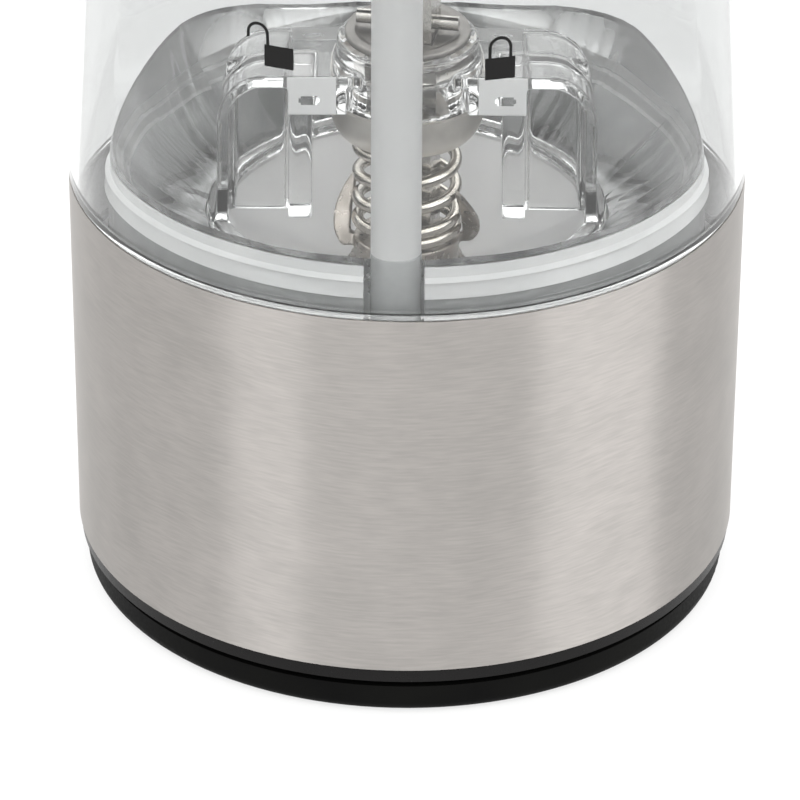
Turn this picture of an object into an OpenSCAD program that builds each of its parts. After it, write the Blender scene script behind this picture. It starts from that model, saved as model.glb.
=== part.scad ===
// Electric pepper mill: a burr grinder in a steel-clad base, a clear chamber for the peppercorns,
// and a head with cells, motor and a two-stage planetary gearbox that turns the grinder's square shaft.
// Millimetres. The mill stands on its dust cap at z = 0, its axis is Z and its front faces -Y.

/* [Body] */
// Outside diameter of the steel sleeves and the clear chamber
body_d = 60; // [58:0.5:64]
// Wall of the steel sleeves
sleeve_wall = 0.6; // [0.4:0.1:0.8]
// Height of the steel sleeve round the base
base_sleeve_h = 34.6; // [32:0.2:40]
// How far the black rims stand in from the sleeves
rim_inset = 0.2; // [0.1:0.1:0.5]

/* [Dust cap] */
// Height of the dust cap
cap_h = 2.8; // [2.4:0.1:4]
// Floor of the dust cap
cap_floor = 1.4; // [1:0.1:1.8]
// Side wall of the dust cap
cap_wall = 1.9; // [1.5:0.1:2.4]
// How far the dust cap stands in from the sleeves
cap_inset = 0.7; // [0.4:0.1:1.2]
// Rounding of the dust cap's lower edge
cap_round = 1.2; // [0.6:0.1:1.4]

/* [Base housing] */
// Height of the groove between the dust cap and the rim
groove_h = 0.8; // [0.6:0.1:1.2]
// Height of the rim that shows under the steel
rim_h = 1.3; // [0.8:0.1:2]
// Wall of the base housing
housing_wall = 2; // [1.6:0.1:2.4]
// Floor of the base housing
housing_floor = 2.8; // [2.4:0.1:4]
// Wall of the spigot that carries the dust cap
spigot_wall = 1.5; // [1.2:0.1:1.8]
// Floor left between the lamp and the opening that the ground pepper leaves through
outlet_edge = 1.5; // [1.2:0.1:2.5]
// Diameter of the base screws' heads
base_screw_head_d = 3.8; // [3.4:0.1:4]
// Height of the base screws' heads
base_screw_head_h = 1.2; // [1:0.1:1.4]
// Diameter of the base screws' shanks
base_screw_d = 2.2; // [2:0.1:2.6]
// Length of the base screws' shanks
base_screw_l = 9; // [7:0.5:14]

/* [Clear chamber] */
// Height of the chamber that shows above the steel
chamber_h = 62; // [50:1:90]
// Wall of the chamber
chamber_wall = 3; // [2.8:0.1:3.4]
// How deep the chamber stands in the base sleeve
chamber_seat_h = 6.4; // [5.6:0.1:7]
// Depth of the rebate in the chamber's top edge
rebate_h = 3; // [2:0.5:5]
// Wall that is left outside the rebate
rebate_wall = 1.8; // [1.5:0.1:2]
// Height of the black collar that shows on the chamber's top
collar_h = 2; // [1.5:0.1:4]
// Height of the collar's neck inside the head
neck_h = 8.5; // [8:0.1:10]
// Wall of the collar's neck
neck_wall = 1; // [0.9:0.05:1.1]

/* [Twist lock] */
// Turn of the head from open to locked, in degrees
lock_turn = 36; // [30:1:40]
// Half the width of each lug, in degrees
lug_half = 14; // [10:1:14]
// Height of a lug
lug_h = 1.8; // [1.4:0.1:2]
// Reach of a lug
lug_reach = 0.6; // [0.5:0.05:0.65]

/* [Grinder] */
// Outside diameter of the ring burr
burr_d = 27; // [26:0.5:28]
// Height of the ring burr
burr_h = 13.2; // [12:0.2:14]
// Diameter of the ring burr's mouth at its lower end
burr_mouth_d = 23.6; // [23:0.1:24]
// Diameter of the ring burr's mouth at its upper end
burr_throat_d = 16.4; // [15.6:0.1:17]
// Gap between the burrs at their lower end, at the coarsest setting
burr_gap = 0.6; // [0.5:0.05:1]
// Rise of the inner burr from coarse to fine
burr_travel = 0.7; // [0.5:0.05:0.8]
// Diameter of the inner burr's neck
burr_neck_d = 10.8; // [9:0.1:11]
// Diameter of the inner burr's lower boss
burr_boss_d = 10; // [9:0.1:12]
// Height of the inner burr's grinding cone
burr_cone_h = 13.4; // [12:0.2:14]
// Room under the ring burr, above the base housing's floor
burr_room = 6.2; // [5.5:0.1:7]
// Wall of the ring burr's holder
holder_wall = 2; // [1.5:0.1:2.4]
// Teeth of the ring burr
burr_teeth = 18; // [12:1:20]
// Teeth of the inner burr
inner_teeth = 12; // [8:1:14]
// Width of the grooves between the teeth
burr_groove = 1.2; // [0.8:0.1:1.4]

/* [Hopper] */
// Diameter of the smooth funnel at its upper edge
hopper_d = 31.2; // [30.8:0.2:33]
// Width of the flat edge round the funnel
hopper_edge = 1.6; // [1.4:0.1:1.8]
// Depth of the funnel's edge below the chamber's lower seam
hopper_sink = 2.4; // [2:0.1:2.8]
// Depth of the funnel
hopper_depth = 3.9; // [3.4:0.1:4.4]
// Diameter of the throat under the funnel
throat_d = 16.4; // [15.6:0.1:17]
// Thickness of the flange that carries the clear ring
flange_t = 2; // [1.6:0.1:2.4]
// Rise of the clear ring from the funnel to the chamber's wall
ring_rise = 6.2; // [5.4:0.1:7]
// Thickness of the clear ring
ring_t = 2; // [1.6:0.1:2.4]
// Ribs under the clear ring, with a round scoop in its top between each two
ring_ribs = 16; // [8:1:24]
// Depth of the scoops in the clear ring
scoop_depth = 1; // [0.6:0.1:1.1]

/* [Bridge] */
// How far the bridge's ends stand in from the funnel's flat edge
bridge_inset = 1; // [0.8:0.1:1.4]
// Width of the bridge
bridge_w = 9.6; // [8:0.2:10]
// Height of the hub's underside over the funnel's edge
hub_rise = 9.9; // [9:0.1:11]
// Diameter of the hub
hub_d = 13; // [12:0.2:14]
// Height of the hub
hub_h = 5.5; // [5:0.1:7]
// How far the hub stands over the bridge's beam
hub_proud = 1.5; // [1:0.1:2]
// Thickness of the bridge's beam
beam_t = 3.4; // [3:0.1:4]
// Thickness of the bridge's legs and feet
leg_t = 1; // [0.8:0.1:1.4]
// Rounding of the bridge's shoulders
shoulder_r = 4; // [3:0.1:5]
// Distance of the inner ribs from the axis
leg_rib_x = 8.2; // [8:0.1:9]
// Thickness of the inner ribs
leg_rib_t = 2; // [1.6:0.1:2.4]

/* [Shaft and spring] */
// Side of the square drive shaft
shaft_side = 5; // [4.8:0.1:5.2]
// Turn of the square shaft at rest, in degrees
shaft_turn = -10; // [-20:1:20]
// Diameter of the shaft's threaded end
thread_d = 4; // [3:0.1:4.4]
// Diameter of the washer on the hub
washer_d = 11; // [10:0.1:12]
// Thickness of the washer
washer_t = 0.6; // [0.5:0.1:1]
// Diameter of the cross pin over the washer
pin_d = 1.2; // [1:0.1:1.5]
// Length of the cross pin
pin_l = 9; // [8:0.1:10]
// Diameter of the spring cup's rim
cup_d = 12.8; // [12:0.1:13.4]
// Diameter of the spring cup's floor
cup_floor_d = 10.4; // [10:0.1:11]
// Height of the spring cup
cup_h = 3.9; // [3.4:0.1:4.4]
// Sheet of the spring cup and the feed wings
sheet_t = 0.8; // [0.6:0.1:1]
// Outside diameter of the grinder's spring
spring_d = 10; // [9.8:0.1:10.2]
// Wire of the grinder's spring
spring_wire = 1.2; // [1:0.05:1.25]
// Wide turns of the grinder's spring, over its one narrow turn
spring_turns = 3; // [2.5:0.25:3]
// Pitch of the narrow turn at the foot
spring_foot_pitch = 1.7; // [1.7:0.05:1.9]
// Reach of the feed wings from the axis
wing_reach = 6.9; // [6.6:0.1:7.2]
// Height of the feed wings
wing_h = 6; // [5:0.1:6.4]
// Turn of the feed wings at rest, in degrees
wing_turn = -30; // [-45:1:0]
// Depth of the feed wings' seat below the funnel's edge
wing_sink = 5.1; // [4.8:0.1:5.6]

/* [Grind knob] */
// Diameter of the knob
knob_d = 16; // [14:0.5:18]
// Height of the knob
knob_h = 5; // [4.4:0.1:5.6]
// Grip flutes round the knob
knob_flutes = 12; // [8:1:16]
// Skin under the knob's threaded hole
knob_skin = 1.2; // [1:0.1:1.6]
// Gap between the knob and the dust cap's floor
knob_gap = 0.9; // [0.6:0.1:1.2]

/* [Lamp conduit] */
// Outside diameter of the milky tube
conduit_d = 4.1; // [3.8:0.1:4.4]
// Inside diameter of the milky tube
conduit_bore_d = 2.8; // [2.6:0.1:3]
// Gap between the tube and the chamber's wall
conduit_inset = 0.6; // [0.4:0.1:0.8]
// Direction of the tube from the axis, in degrees
conduit_turn = -92; // [-96:1:-84]
// Height of the tube's socket over the chamber's lower seam
socket_rise = 4.1; // [3.6:0.1:5]
// Diameter of the lamp's wires
wire_d = 0.7; // [0.5:0.05:0.8]
// Diameter of the lamp
lamp_d = 3.9; // [3.6:0.1:4]
// Distance of the lamp inside the tube's axis
lamp_shift = 0.8; // [0.5:0.1:1]
// Length of the lamp
lamp_l = 5.6; // [5:0.1:7]
// Length of the plug on the tube
plug_l = 2.5; // [2:0.1:3.5]

/* [Gearbox] */
// Module of the gears
gear_m = 0.5; // [0.48:0.01:0.52]
// Teeth of the sun gears
sun_teeth = 12; // [12:6:12]
// Teeth of the planet gears
planet_teeth = 18; // [18:6:18]
// Pressure angle of the gears
gear_angle = 25; // [20:1:25]
// Play taken off each tooth
gear_play = 0.12; // [0.08:0.01:0.16]
// Width of the gears
gear_w = 4; // [3:0.1:5]
// Thickness of the planet carriers
carrier_t = 1.8; // [1.5:0.1:2.4]
// Diameter of the planets' pins
planet_pin_d = 2.4; // [2:0.1:2.8]
// Wall of the gearbox outside its ring teeth
case_wall = 2; // [1.6:0.1:2.4]
// Thickness of the gearbox's end plates
case_plate = 2; // [1.8:0.1:2.6]
// Diameter of the output shaft
output_d = 6; // [5:0.1:6.4]
// Diameter of the drive coupler
coupler_d = 12.8; // [11.6:0.1:14]
// How deep the square shaft stands in the coupler
coupler_grip = 8; // [6:0.5:9]
// Width of the coupler's drive ribs
coupler_rib = 0.7; // [0.6:0.05:0.8]

/* [Motor and cells] */
// Diameter of the motor
motor_d = 24.4; // [22:0.2:25]
// Length of the motor's steel can
motor_l = 26; // [22:0.5:30]
// Length of the motor's end cap
motor_cap_l = 4; // [3:0.1:5]
// Diameter of the motor's shaft
motor_shaft_d = 2; // [1.5:0.1:2.3]
// Diameter of a cell
cell_d = 10.5; // [10:0.1:10.5]
// Length of a cell, with its nub
cell_l = 44.5; // [42:0.1:45]
// Wall of the cell holder's inner tube
holder_tube_wall = 1; // [0.8:0.1:1.2]
// Thickness of the cell holder's plates
holder_plate = 1.6; // [1.2:0.1:2]
// Length of the cells' springs
cell_spring_l = 3.4; // [3.2:0.1:4]

/* [Head] */
// Thickness of the gasket under the head
gasket_h = 0.8; // [0.6:0.1:1.2]
// Height of the black lip under the head's sleeve
lip_h = 1; // [0.8:0.1:1.6]
// Floor of the head's chassis
chassis_floor = 2.5; // [2.2:0.1:3.5]
// Height of the top cap's side
cap_side_h = 3.4; // [3.2:0.1:5]
// Thickness of the top cap's plate
cap_plate = 2; // [1.6:0.1:2.6]
// Rounding of the top cap's edge
top_round = 1.8; // [1:0.1:2]
// Wall of the top cap's skirt
skirt_wall = 1.5; // [1.2:0.1:1.8]
// Depth of the top cap's skirt
skirt_h = 5; // [3:0.5:7]
// Diameter of the push button
button_d = 24; // [20:0.5:25]
// How far the button stands over the top cap
button_rise = 3.6; // [3:0.1:5]
// Travel of the button
button_travel = 2; // [1.5:0.1:2.2]
// Wall of the button
button_wall = 1.6; // [1.2:0.1:2.2]

/* [Clearances] */
// Gap between fixed pieces that stand in each other
fit_gap = 0.1; // [0.05:0.05:0.15]
// Gap between pieces that slide or turn past each other
slip_gap = 0.25; // [0.2:0.05:0.3]
// Radial clearance of shafts in their bores
run_gap = 0.06; // [0.03:0.01:0.1]

/* [Hidden] */
$fn = 96;
over = 1;
planets = 3;
lugs = 3;
cells = 6;

// Radii from the body's outside inwards
body_r = body_d / 2;
sleeve_in_r = body_r - sleeve_wall;
rim_r = body_r - rim_inset;
housing_r = sleeve_in_r - fit_gap;
housing_in_r = housing_r - housing_wall;
cap_r = body_r - cap_inset;
cap_in_r = cap_r - cap_wall;
spigot_r = cap_in_r - slip_gap;
spigot_in_r = spigot_r - spigot_wall;
bore_r = body_r - chamber_wall;
rebate_r = body_r - rebate_wall;
conduit_r = bore_r - conduit_inset - conduit_d / 2;
lamp_r = conduit_r - lamp_shift;
outlet_r = lamp_r - lamp_d / 2 - fit_gap - outlet_edge;
screw_circle_r = (outlet_r + spigot_in_r) / 2;
collar_in_r = conduit_r + conduit_d / 2 + slip_gap;
neck_r = collar_in_r + neck_wall;
lug_r = neck_r + lug_reach;
chassis_r = sleeve_in_r - fit_gap;
chassis_in_r = lug_r + slip_gap;
chassis_mid_r = (chassis_r + chassis_in_r) / 2;
hopper_r = hopper_d / 2;
hopper_edge_r = hopper_r + hopper_edge;
bridge_l = 2 * (hopper_edge_r - bridge_inset);
burr_seat_r = burr_d / 2 + fit_gap;
ring_in_r = hopper_edge_r + fit_gap;
ring_r = bore_r - fit_gap;

// Heights from the floor to the chamber's top
spigot_z = cap_floor + slip_gap;
rim_z = cap_h + groove_h;
sleeve_z = rim_z + rim_h;
floor_z = rim_z + housing_floor;
seam_z = sleeve_z + base_sleeve_h;
wall_top_z = seam_z - chamber_seat_h;
flange_z = wall_top_z - slip_gap;
burr_z = floor_z + burr_room;
burr_top_z = burr_z + burr_h;
hopper_z = seam_z - hopper_sink;
throat_z = hopper_z - hopper_depth;
ring_top_z = hopper_z + ring_rise;
socket_z = seam_z + socket_rise;
mouth_z = seam_z + chamber_h;
shoulder_z = mouth_z + collar_h;
neck_top_z = shoulder_z + neck_h;

// Heights of the rotor
knob_z = cap_floor + knob_gap;
boss_z = knob_z + knob_h + slip_gap;
wing_z = hopper_z - wing_sink;
spring_z = wing_z + sheet_t;
hub_z = hopper_z + hub_rise;
hub_top_z = hub_z + hub_h;
beam_z = hub_top_z - hub_proud - beam_t;
cup_z = hub_z - slip_gap - cup_h;
washer_z = hub_top_z + fit_gap;
pin_z = washer_z + washer_t + pin_d / 2 + fit_gap;
shaft_corner_r = shaft_side / sqrt(2);
square_hole = shaft_side + 2 * run_gap;

// Heights of the head
gasket_z = shoulder_z;
chassis_z = gasket_z + gasket_h;
head_sleeve_z = chassis_z + lip_h;
head_floor_z = neck_top_z + 2 * slip_gap;
gearbox_z = head_floor_z + chassis_floor;
output_z = gearbox_z + case_plate + slip_gap;
lower_gear_z = output_z + carrier_t + slip_gap;
upper_carrier_z = lower_gear_z + gear_w + slip_gap;
upper_gear_z = upper_carrier_z + carrier_t + slip_gap;
case_top_z = upper_gear_z + gear_w + 2 * slip_gap;
motor_z = case_top_z + case_plate;
holder_z = motor_z + holder_plate;
cell_z = holder_z + holder_plate + cell_spring_l;
plate_t = 0.4;
cell_top_z = cell_z + cell_l;
holder_top_z = cell_top_z + plate_t + fit_gap + holder_plate;
head_top_z = holder_top_z + slip_gap;
cap_plate_z = head_top_z + cap_side_h;
top_z = cap_plate_z + cap_plate;

// Contacts and the coupler under the head's floor
contact_t = 0.3;
pin_top_z = head_floor_z - contact_t - fit_gap;
pin_proud = 1.5;
conduit_top_z = pin_top_z - plug_l - pin_proud;
contact_step = 0.55;
coupler_floor = 1.4;
coupler_neck_wall = 1.6;
coupler_neck_r = output_d / 2 + coupler_neck_wall;
shaft_top_z = head_floor_z - slip_gap - 2 * coupler_floor;
coupler_z = shaft_top_z - coupler_grip;
coupler_roof_z = shaft_top_z + slip_gap;
coupler_top_z = head_floor_z - slip_gap;
coupler_bore_r = shaft_corner_r + 2 * slip_gap;
coupler_play = 12;
rib_tip_r = shaft_side / 2 / cos(lock_turn / 2 + coupler_play);

// Gears
addendum = 0.8 * gear_m;
dedendum = 1.1 * gear_m;
ring_teeth = sun_teeth + 2 * planet_teeth;
planet_circle_r = gear_m * (sun_teeth + planet_teeth) / 2;
carrier_edge = 1.2;
carrier_r = planet_circle_r + planet_pin_d / 2 + carrier_edge;
case_r = gear_m * ring_teeth / 2 + dedendum + case_wall;
screw_slot = 0.6;
gear_screw_d = 2.2;
gear_screw_head_d = 4;
gear_screw_head_h = 1.5;
ear_edge = 0.4;
ear_r = gear_screw_head_d / 2 + ear_edge;
ear_circle_r = case_r + gear_screw_head_d / 2 + slip_gap;
ear_h = 3;
motor_screw_d = 2;
motor_screw_r = 8;
motor_boss_r = 3.4;

// Cell holder, switch and button
holder_r = chassis_in_r - skirt_wall - 2 * slip_gap;
holder_tube_r = motor_d / 2 + slip_gap;
cell_circle_r = (holder_tube_r + holder_tube_wall + holder_r) / 2;
board_t = 1.6;
board_r = holder_tube_r - slip_gap;
switch_side = 6;
switch_h = 3.5;
plunger_h = 1.5;
button_flange = 1.2;
button_top_z = top_z + button_rise;
button_flange_z = cap_plate_z - fit_gap - button_flange;
button_hole_r = button_d / 2 + slip_gap;
button_roof_z = button_top_z - button_wall;
board_sink = 6;
board_z = holder_top_z - board_sink - board_t;
plunger_z = board_z + board_t + switch_h;
stem_z = plunger_z + plunger_h + button_travel + fit_gap;
button_spring_d = 17;
button_spring_wire = 0.7;
button_spring_turns = 6;
cell_spring_d = 5.4;
cell_spring_wire = 0.5;
cell_spring_turns = 2.5;
turn_rings = 8;
wire_sides = 6;

module polar(r, angle, z = 0) {
    rotate(angle) translate([r, 0, z]) rotate(-angle) children();
}

module pipe(r_out, r_in, h) {
    difference() {
        cylinder(r = r_out, h = h);
        translate([0, 0, -over]) cylinder(r = r_in, h = h + 2 * over);
    }
}

module square_bar(side, h) {
    rotate(shaft_turn) translate([-side / 2, -side / 2, 0]) cube([side, side, h]);
}

// A ring sector between two radii, centred on an angle
module sector(r_in, r_out, h, angle, half) {
    rotate(angle - half) rotate_extrude(angle = 2 * half) translate([r_in, 0]) square([r_out - r_in, h]);
}

// Points along a coil of wire, with a straight stretch at each end
function coil_point(r, turn, z) = [r * cos(360 * turn), r * sin(360 * turn), z];
function coil_ring(c, turn, wire) = [
    for (k = [0 : wire_sides - 1])
        let (a = 360 * (k + 0.5) / wire_sides)
        c + wire / 2 * [cos(a) * cos(360 * turn), cos(a) * sin(360 * turn), sin(a)]
];
function tangent(turn) = [-sin(360 * turn), cos(360 * turn), 0];

function least_gap(points, wire) = min([
    for (i = [0 : len(points) - 1], j = [i + turn_rings / 2 + 1 : 1 : len(points) - 1])
        norm(points[i] - points[j])
]) - wire;

// One unbroken tube of wire: heights has one value for each ring, eight rings to a turn
module coil(r, wire, heights) {
    count = len(heights);
    turns = [for (i = [0 : count - 1]) i / turn_rings];
    centres = [for (i = [0 : count - 1]) coil_point(r, turns[i], heights[i])];
    start = centres[0] - wire * tangent(turns[0]);
    end = centres[count - 1] + wire * tangent(turns[count - 1]);
    rings = concat(
        [coil_ring(start, turns[0], wire)],
        [for (i = [0 : count - 1]) coil_ring(centres[i], turns[i], wire)],
        [coil_ring(end, turns[count - 1], wire)]
    );
    last = len(rings) - 1;
    points = [for (ring = rings) each ring];
    sides = [
        for (i = [0 : last - 1], k = [0 : wire_sides - 1])
            let (
                a = i * wire_sides + k,
                b = i * wire_sides + (k + 1) % wire_sides
            )
            each [[a, b, b + wire_sides], [a, b + wire_sides, a + wire_sides]]
    ];
    first_cap = [for (k = [1 : wire_sides - 2]) [0, k + 1, k]];
    tip = last * wire_sides;
    last_cap = [for (k = [1 : wire_sides - 2]) [tip, tip + k, tip + k + 1]];
    polyhedron(points = points, faces = concat(sides, first_cap, last_cap));
    echo(str("Least gap of the ", wire, " mm wire's coil to itself: ", least_gap(centres, wire), " mm"));
}

// Involute gear outline, with one tooth centred on the X axis
function involute(r, base_r) = let (t = sqrt(max(0, pow(r / base_r, 2) - 1))) t * 180 / PI - atan(t);
function tooth_half(r, teeth, play) =
    let (pitch_r = gear_m * teeth / 2, base_r = pitch_r * cos(gear_angle))
    90 / teeth - play / 2 / pitch_r * 180 / PI + involute(pitch_r, base_r) - involute(max(r, base_r), base_r);
function flank(teeth, angle, side, radii, play) = [
    for (r = radii)
        let (a = angle + side * tooth_half(r, teeth, play))
        [r * cos(a), r * sin(a)]
];
function gear_outline(teeth, tip, root, play) =
    let (
        pitch_r = gear_m * teeth / 2,
        up = [pitch_r - root, pitch_r - root / 2, pitch_r, pitch_r + tip / 2, pitch_r + tip],
        down = [for (i = [len(up) - 1 : -1 : 0]) up[i]]
    )
    [
        for (i = [0 : teeth - 1])
            each concat(
                flank(teeth, 360 * i / teeth, -1, up, play),
                flank(teeth, 360 * i / teeth, 1, down, play)
            )
    ];

module gear(teeth, bore_d) {
    linear_extrude(height = gear_w) difference() {
        polygon(gear_outline(teeth, addendum, dedendum, gear_play));
        if (bore_d > 0) circle(d = bore_d);
    }
}

// A planet stands in mesh with the sun's tooth on the X axis
module planet(index, z) {
    angle = 360 * index / planets;
    turn = angle + 180 + angle * sun_teeth / planet_teeth - 180 / planet_teeth;
    color("#e9e6dc") polar(planet_circle_r, angle, z) rotate(turn)
        gear(planet_teeth, planet_pin_d + 2 * run_gap);
}

module carrier_disc() {
    cylinder(r = carrier_r, h = carrier_t);
    for (i = [0 : planets - 1])
        polar(planet_circle_r, 360 * i / planets)
            cylinder(d = planet_pin_d, h = carrier_t + slip_gap + gear_w);
}

module screw(head_d, head_h, shank_d, shank_l) {
    difference() {
        translate([0, 0, -head_h]) cylinder(d = head_d, h = head_h);
        translate([-head_d / 2, -screw_slot / 2, -head_h - over])
            cube([head_d, screw_slot, over + head_h / 2]);
    }
    cylinder(d = shank_d, h = shank_l);
}

// Base and chamber

module base_screw_places() {
    for (angle = [90, 210, 330]) polar(screw_circle_r, angle) children();
}

base_screw_seat_z = rim_z + base_screw_head_h + fit_gap;

module base_housing() {
    color("#1c1b1a") difference() {
        rotate_extrude() polygon([
            [spigot_in_r, spigot_z], [spigot_r, spigot_z], [spigot_r, rim_z], [rim_r, rim_z],
            [rim_r, sleeve_z], [housing_r, sleeve_z], [housing_r, wall_top_z], [housing_in_r, wall_top_z],
            [housing_in_r, floor_z], [outlet_r, floor_z], [outlet_r, rim_z], [spigot_in_r, rim_z]
        ]);
        base_screw_places() {
            translate([0, 0, rim_z - over])
                cylinder(d = base_screw_d + 2 * fit_gap, h = housing_floor + 2 * over);
            translate([0, 0, rim_z - over])
                cylinder(d = base_screw_head_d + 2 * fit_gap, h = base_screw_seat_z - rim_z + over);
        }
        polar(lamp_r, conduit_turn, spigot_z - over)
            cylinder(d = lamp_d + 2 * fit_gap, h = floor_z - spigot_z + 2 * over);
    }
}

module steel_sleeve() {
    color("#b9b4ac") translate([0, 0, sleeve_z]) pipe(body_r, sleeve_in_r, base_sleeve_h);
}

module grinder_housing() {
    tube_r = burr_seat_r + holder_wall;
    flange_r = housing_in_r - fit_gap;
    post_wall = 1.4;
    post_r = base_screw_d / 2 + post_wall;
    edge_z = hopper_z - hopper_edge;
    slope_z = edge_z - abs(hopper_edge_r - tube_r);
    flange_low_z = flange_z - flange_t;
    color("#c9c8c4") difference() {
        union() {
            rotate_extrude() polygon([
                [throat_d / 2, burr_top_z], [throat_d / 2, throat_z], [hopper_r, hopper_z],
                [hopper_edge_r, hopper_z], [hopper_edge_r, edge_z], [tube_r, slope_z], [tube_r, flange_z],
                [flange_r, flange_z], [flange_r, flange_low_z], [tube_r, flange_low_z], [tube_r, burr_z],
                [burr_seat_r, burr_z], [burr_seat_r, burr_top_z]
            ]);
            base_screw_places() translate([0, 0, floor_z])
                cylinder(r = post_r, h = flange_low_z - floor_z + fit_gap);
        }
        base_screw_places() translate([0, 0, floor_z - over])
            cylinder(d = base_screw_d + 2 * fit_gap, h = base_screw_l + over);
        polar(conduit_r, conduit_turn, flange_low_z - over)
            cylinder(d = conduit_bore_d, h = flange_t + 2 * over);
    }
}

// Grooves along a cone that is r_low wide at its foot and r_high at its top
module cone_grooves(count, r_low, r_high, h) {
    lean = atan((r_low - r_high) / h);
    for (i = [0 : count - 1])
        rotate(360 * i / count) translate([(r_low + r_high) / 2, 0, h / 2]) rotate([0, -lean, 0])
            cube([burr_groove, burr_groove, 2 * h], center = true);
}

module outer_burr() {
    color("#e3ded2") translate([0, 0, burr_z]) difference() {
        cylinder(d = burr_d, h = burr_h);
        translate([0, 0, -over / 10])
            cylinder(d1 = burr_mouth_d, d2 = burr_throat_d, h = burr_h + over / 5);
        cone_grooves(burr_teeth, burr_mouth_d / 2, burr_throat_d / 2, burr_h);
    }
}

module hopper_ring() {
    inner_rise = 0.4;
    inner_z = hopper_z + inner_rise;
    skirt_t = 1.5;
    bevel = 0.6;
    rib_t = 1.2;
    rib_r = ring_in_r + rib_t;
    boss_r = conduit_d / 2;
    nipple_wall = 0.3;
    nipple_r = conduit_bore_d / 2 - fit_gap;
    nipple_top = socket_z - flange_z + conduit_bore_d;
    slope_run = ring_r - bevel - ring_in_r;
    slope_rise = ring_top_z - inner_z;
    slope = atan(slope_rise / slope_run);
    slope_mid_r = ring_in_r + slope_run / 2;
    scoop_edge = 0.3;
    scoop_r = min(PI * slope_mid_r / ring_ribs, norm([slope_run, slope_rise]) / 2) - scoop_edge;
    ball_r = (pow(scoop_r, 2) + pow(scoop_depth, 2)) / (2 * scoop_depth);
    color("#d7dbdb", 0.5) difference() {
        union() {
            difference() {
                rotate_extrude() polygon([
                    [ring_in_r, inner_z], [ring_r - bevel, ring_top_z], [ring_r, ring_top_z - bevel],
                    [ring_r, flange_z], [ring_r - skirt_t, flange_z],
                    [ring_r - skirt_t, ring_top_z - bevel - ring_t], [ring_in_r, inner_z - ring_t]
                ]);
                for (i = [0 : ring_ribs - 1])
                    rotate(360 * i / ring_ribs) translate([slope_mid_r, 0, inner_z + slope_rise / 2])
                        rotate([0, -slope, 0]) translate([0, 0, ball_r - scoop_depth]) sphere(r = ball_r);
            }
            for (i = [0 : ring_ribs - 1])
                rotate(360 * (i + 0.5) / ring_ribs) translate([rib_r, -rib_t / 2, flange_z])
                    cube([ring_r - skirt_t / 2 - rib_r, rib_t, inner_z - ring_t / 2 - flange_z]);
            polar(conduit_r, conduit_turn, flange_z) {
                cylinder(r = boss_r, h = socket_z - flange_z);
                cylinder(r = nipple_r, h = nipple_top);
            }
        }
        polar(conduit_r, conduit_turn, flange_z - over)
            cylinder(r = nipple_r - nipple_wall, h = nipple_top + 2 * over);
    }
}

// Front view of the bridge: a plate with round upper corners
module bridge_outline(l, h, r) {
    translate([-l / 2, 0]) square([l, h - r]);
    translate([r - l / 2, 0]) square([l - 2 * r, h]);
    for (side = [-1, 1]) translate([side * (l / 2 - r), h - r]) circle(r = r);
}

module bearing_bridge() {
    arch_h = beam_z + beam_t - hopper_z;
    web_t = 1.6;
    rib_w = 5;
    rib_out_x = leg_rib_x + leg_rib_t;
    bore_h = hub_h + 2 * over;
    inner_l = bridge_l - 2 * leg_t;
    color("#e4e9ea", 0.5) difference() {
        union() {
            translate([0, 0, hopper_z]) rotate([90, 0, 0]) {
                linear_extrude(height = bridge_w, center = true) difference() {
                    bridge_outline(bridge_l, arch_h, shoulder_r);
                    translate([0, -over])
                        bridge_outline(inner_l, arch_h - leg_t + over, shoulder_r - leg_t);
                }
                linear_extrude(height = web_t, center = true) difference() {
                    bridge_outline(bridge_l, arch_h, shoulder_r);
                    translate([-leg_rib_x, -over]) square([2 * leg_rib_x, arch_h + 2 * over]);
                }
                for (side = [-1, 1]) linear_extrude(height = rib_w, center = true)
                    translate([side * (leg_rib_x + leg_rib_t / 2) - leg_rib_t / 2, 0])
                        square([leg_rib_t, arch_h - leg_t / 2]);
                linear_extrude(height = bridge_w, center = true)
                    translate([-rib_out_x, arch_h - beam_t]) square([2 * rib_out_x, beam_t - leg_t / 2]);
            }
            translate([0, 0, hopper_z]) pipe(hopper_edge_r, hopper_r + slip_gap, leg_t);
            translate([0, 0, hub_z]) cylinder(d = hub_d, h = hub_h);
        }
        translate([0, 0, hub_z - over]) cylinder(r = shaft_corner_r + run_gap, h = bore_h);
    }
}

module clear_chamber() {
    seat_r = sleeve_in_r - fit_gap;
    color("#eef1f1", 0.35) rotate_extrude() polygon([
        [bore_r, wall_top_z], [seat_r, wall_top_z], [seat_r, seam_z], [body_r, seam_z], [body_r, mouth_z],
        [rebate_r, mouth_z], [rebate_r, mouth_z - rebate_h], [bore_r, mouth_z - rebate_h]
    ]);
}

// The lugs of the collar lie over the head's lugs once the head is turned to its lock
neck_lug_z = neck_top_z - lug_h;
head_lug_z = neck_lug_z - slip_gap - lug_h;

module mouth_collar() {
    color("#1c1b1a") {
        rotate_extrude() polygon([
            [collar_in_r, mouth_z - rebate_h], [rebate_r - fit_gap, mouth_z - rebate_h],
            [rebate_r - fit_gap, mouth_z], [rim_r, mouth_z], [rim_r, shoulder_z], [neck_r, shoulder_z],
            [neck_r, neck_top_z], [collar_in_r, neck_top_z]
        ]);
        for (i = [0 : lugs - 1]) translate([0, 0, neck_lug_z])
            sector(neck_r - neck_wall / 2, lug_r, lug_h, 360 * i / lugs, lug_half);
    }
}

module conduit_tube() {
    color("#e8e4de") polar(conduit_r, conduit_turn, socket_z)
        pipe(conduit_d / 2, conduit_bore_d / 2, conduit_top_z - socket_z);
}

module conduit_pair() {
    for (side = [-1, 1]) polar(conduit_r + side * contact_step, conduit_turn) children();
}

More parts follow.
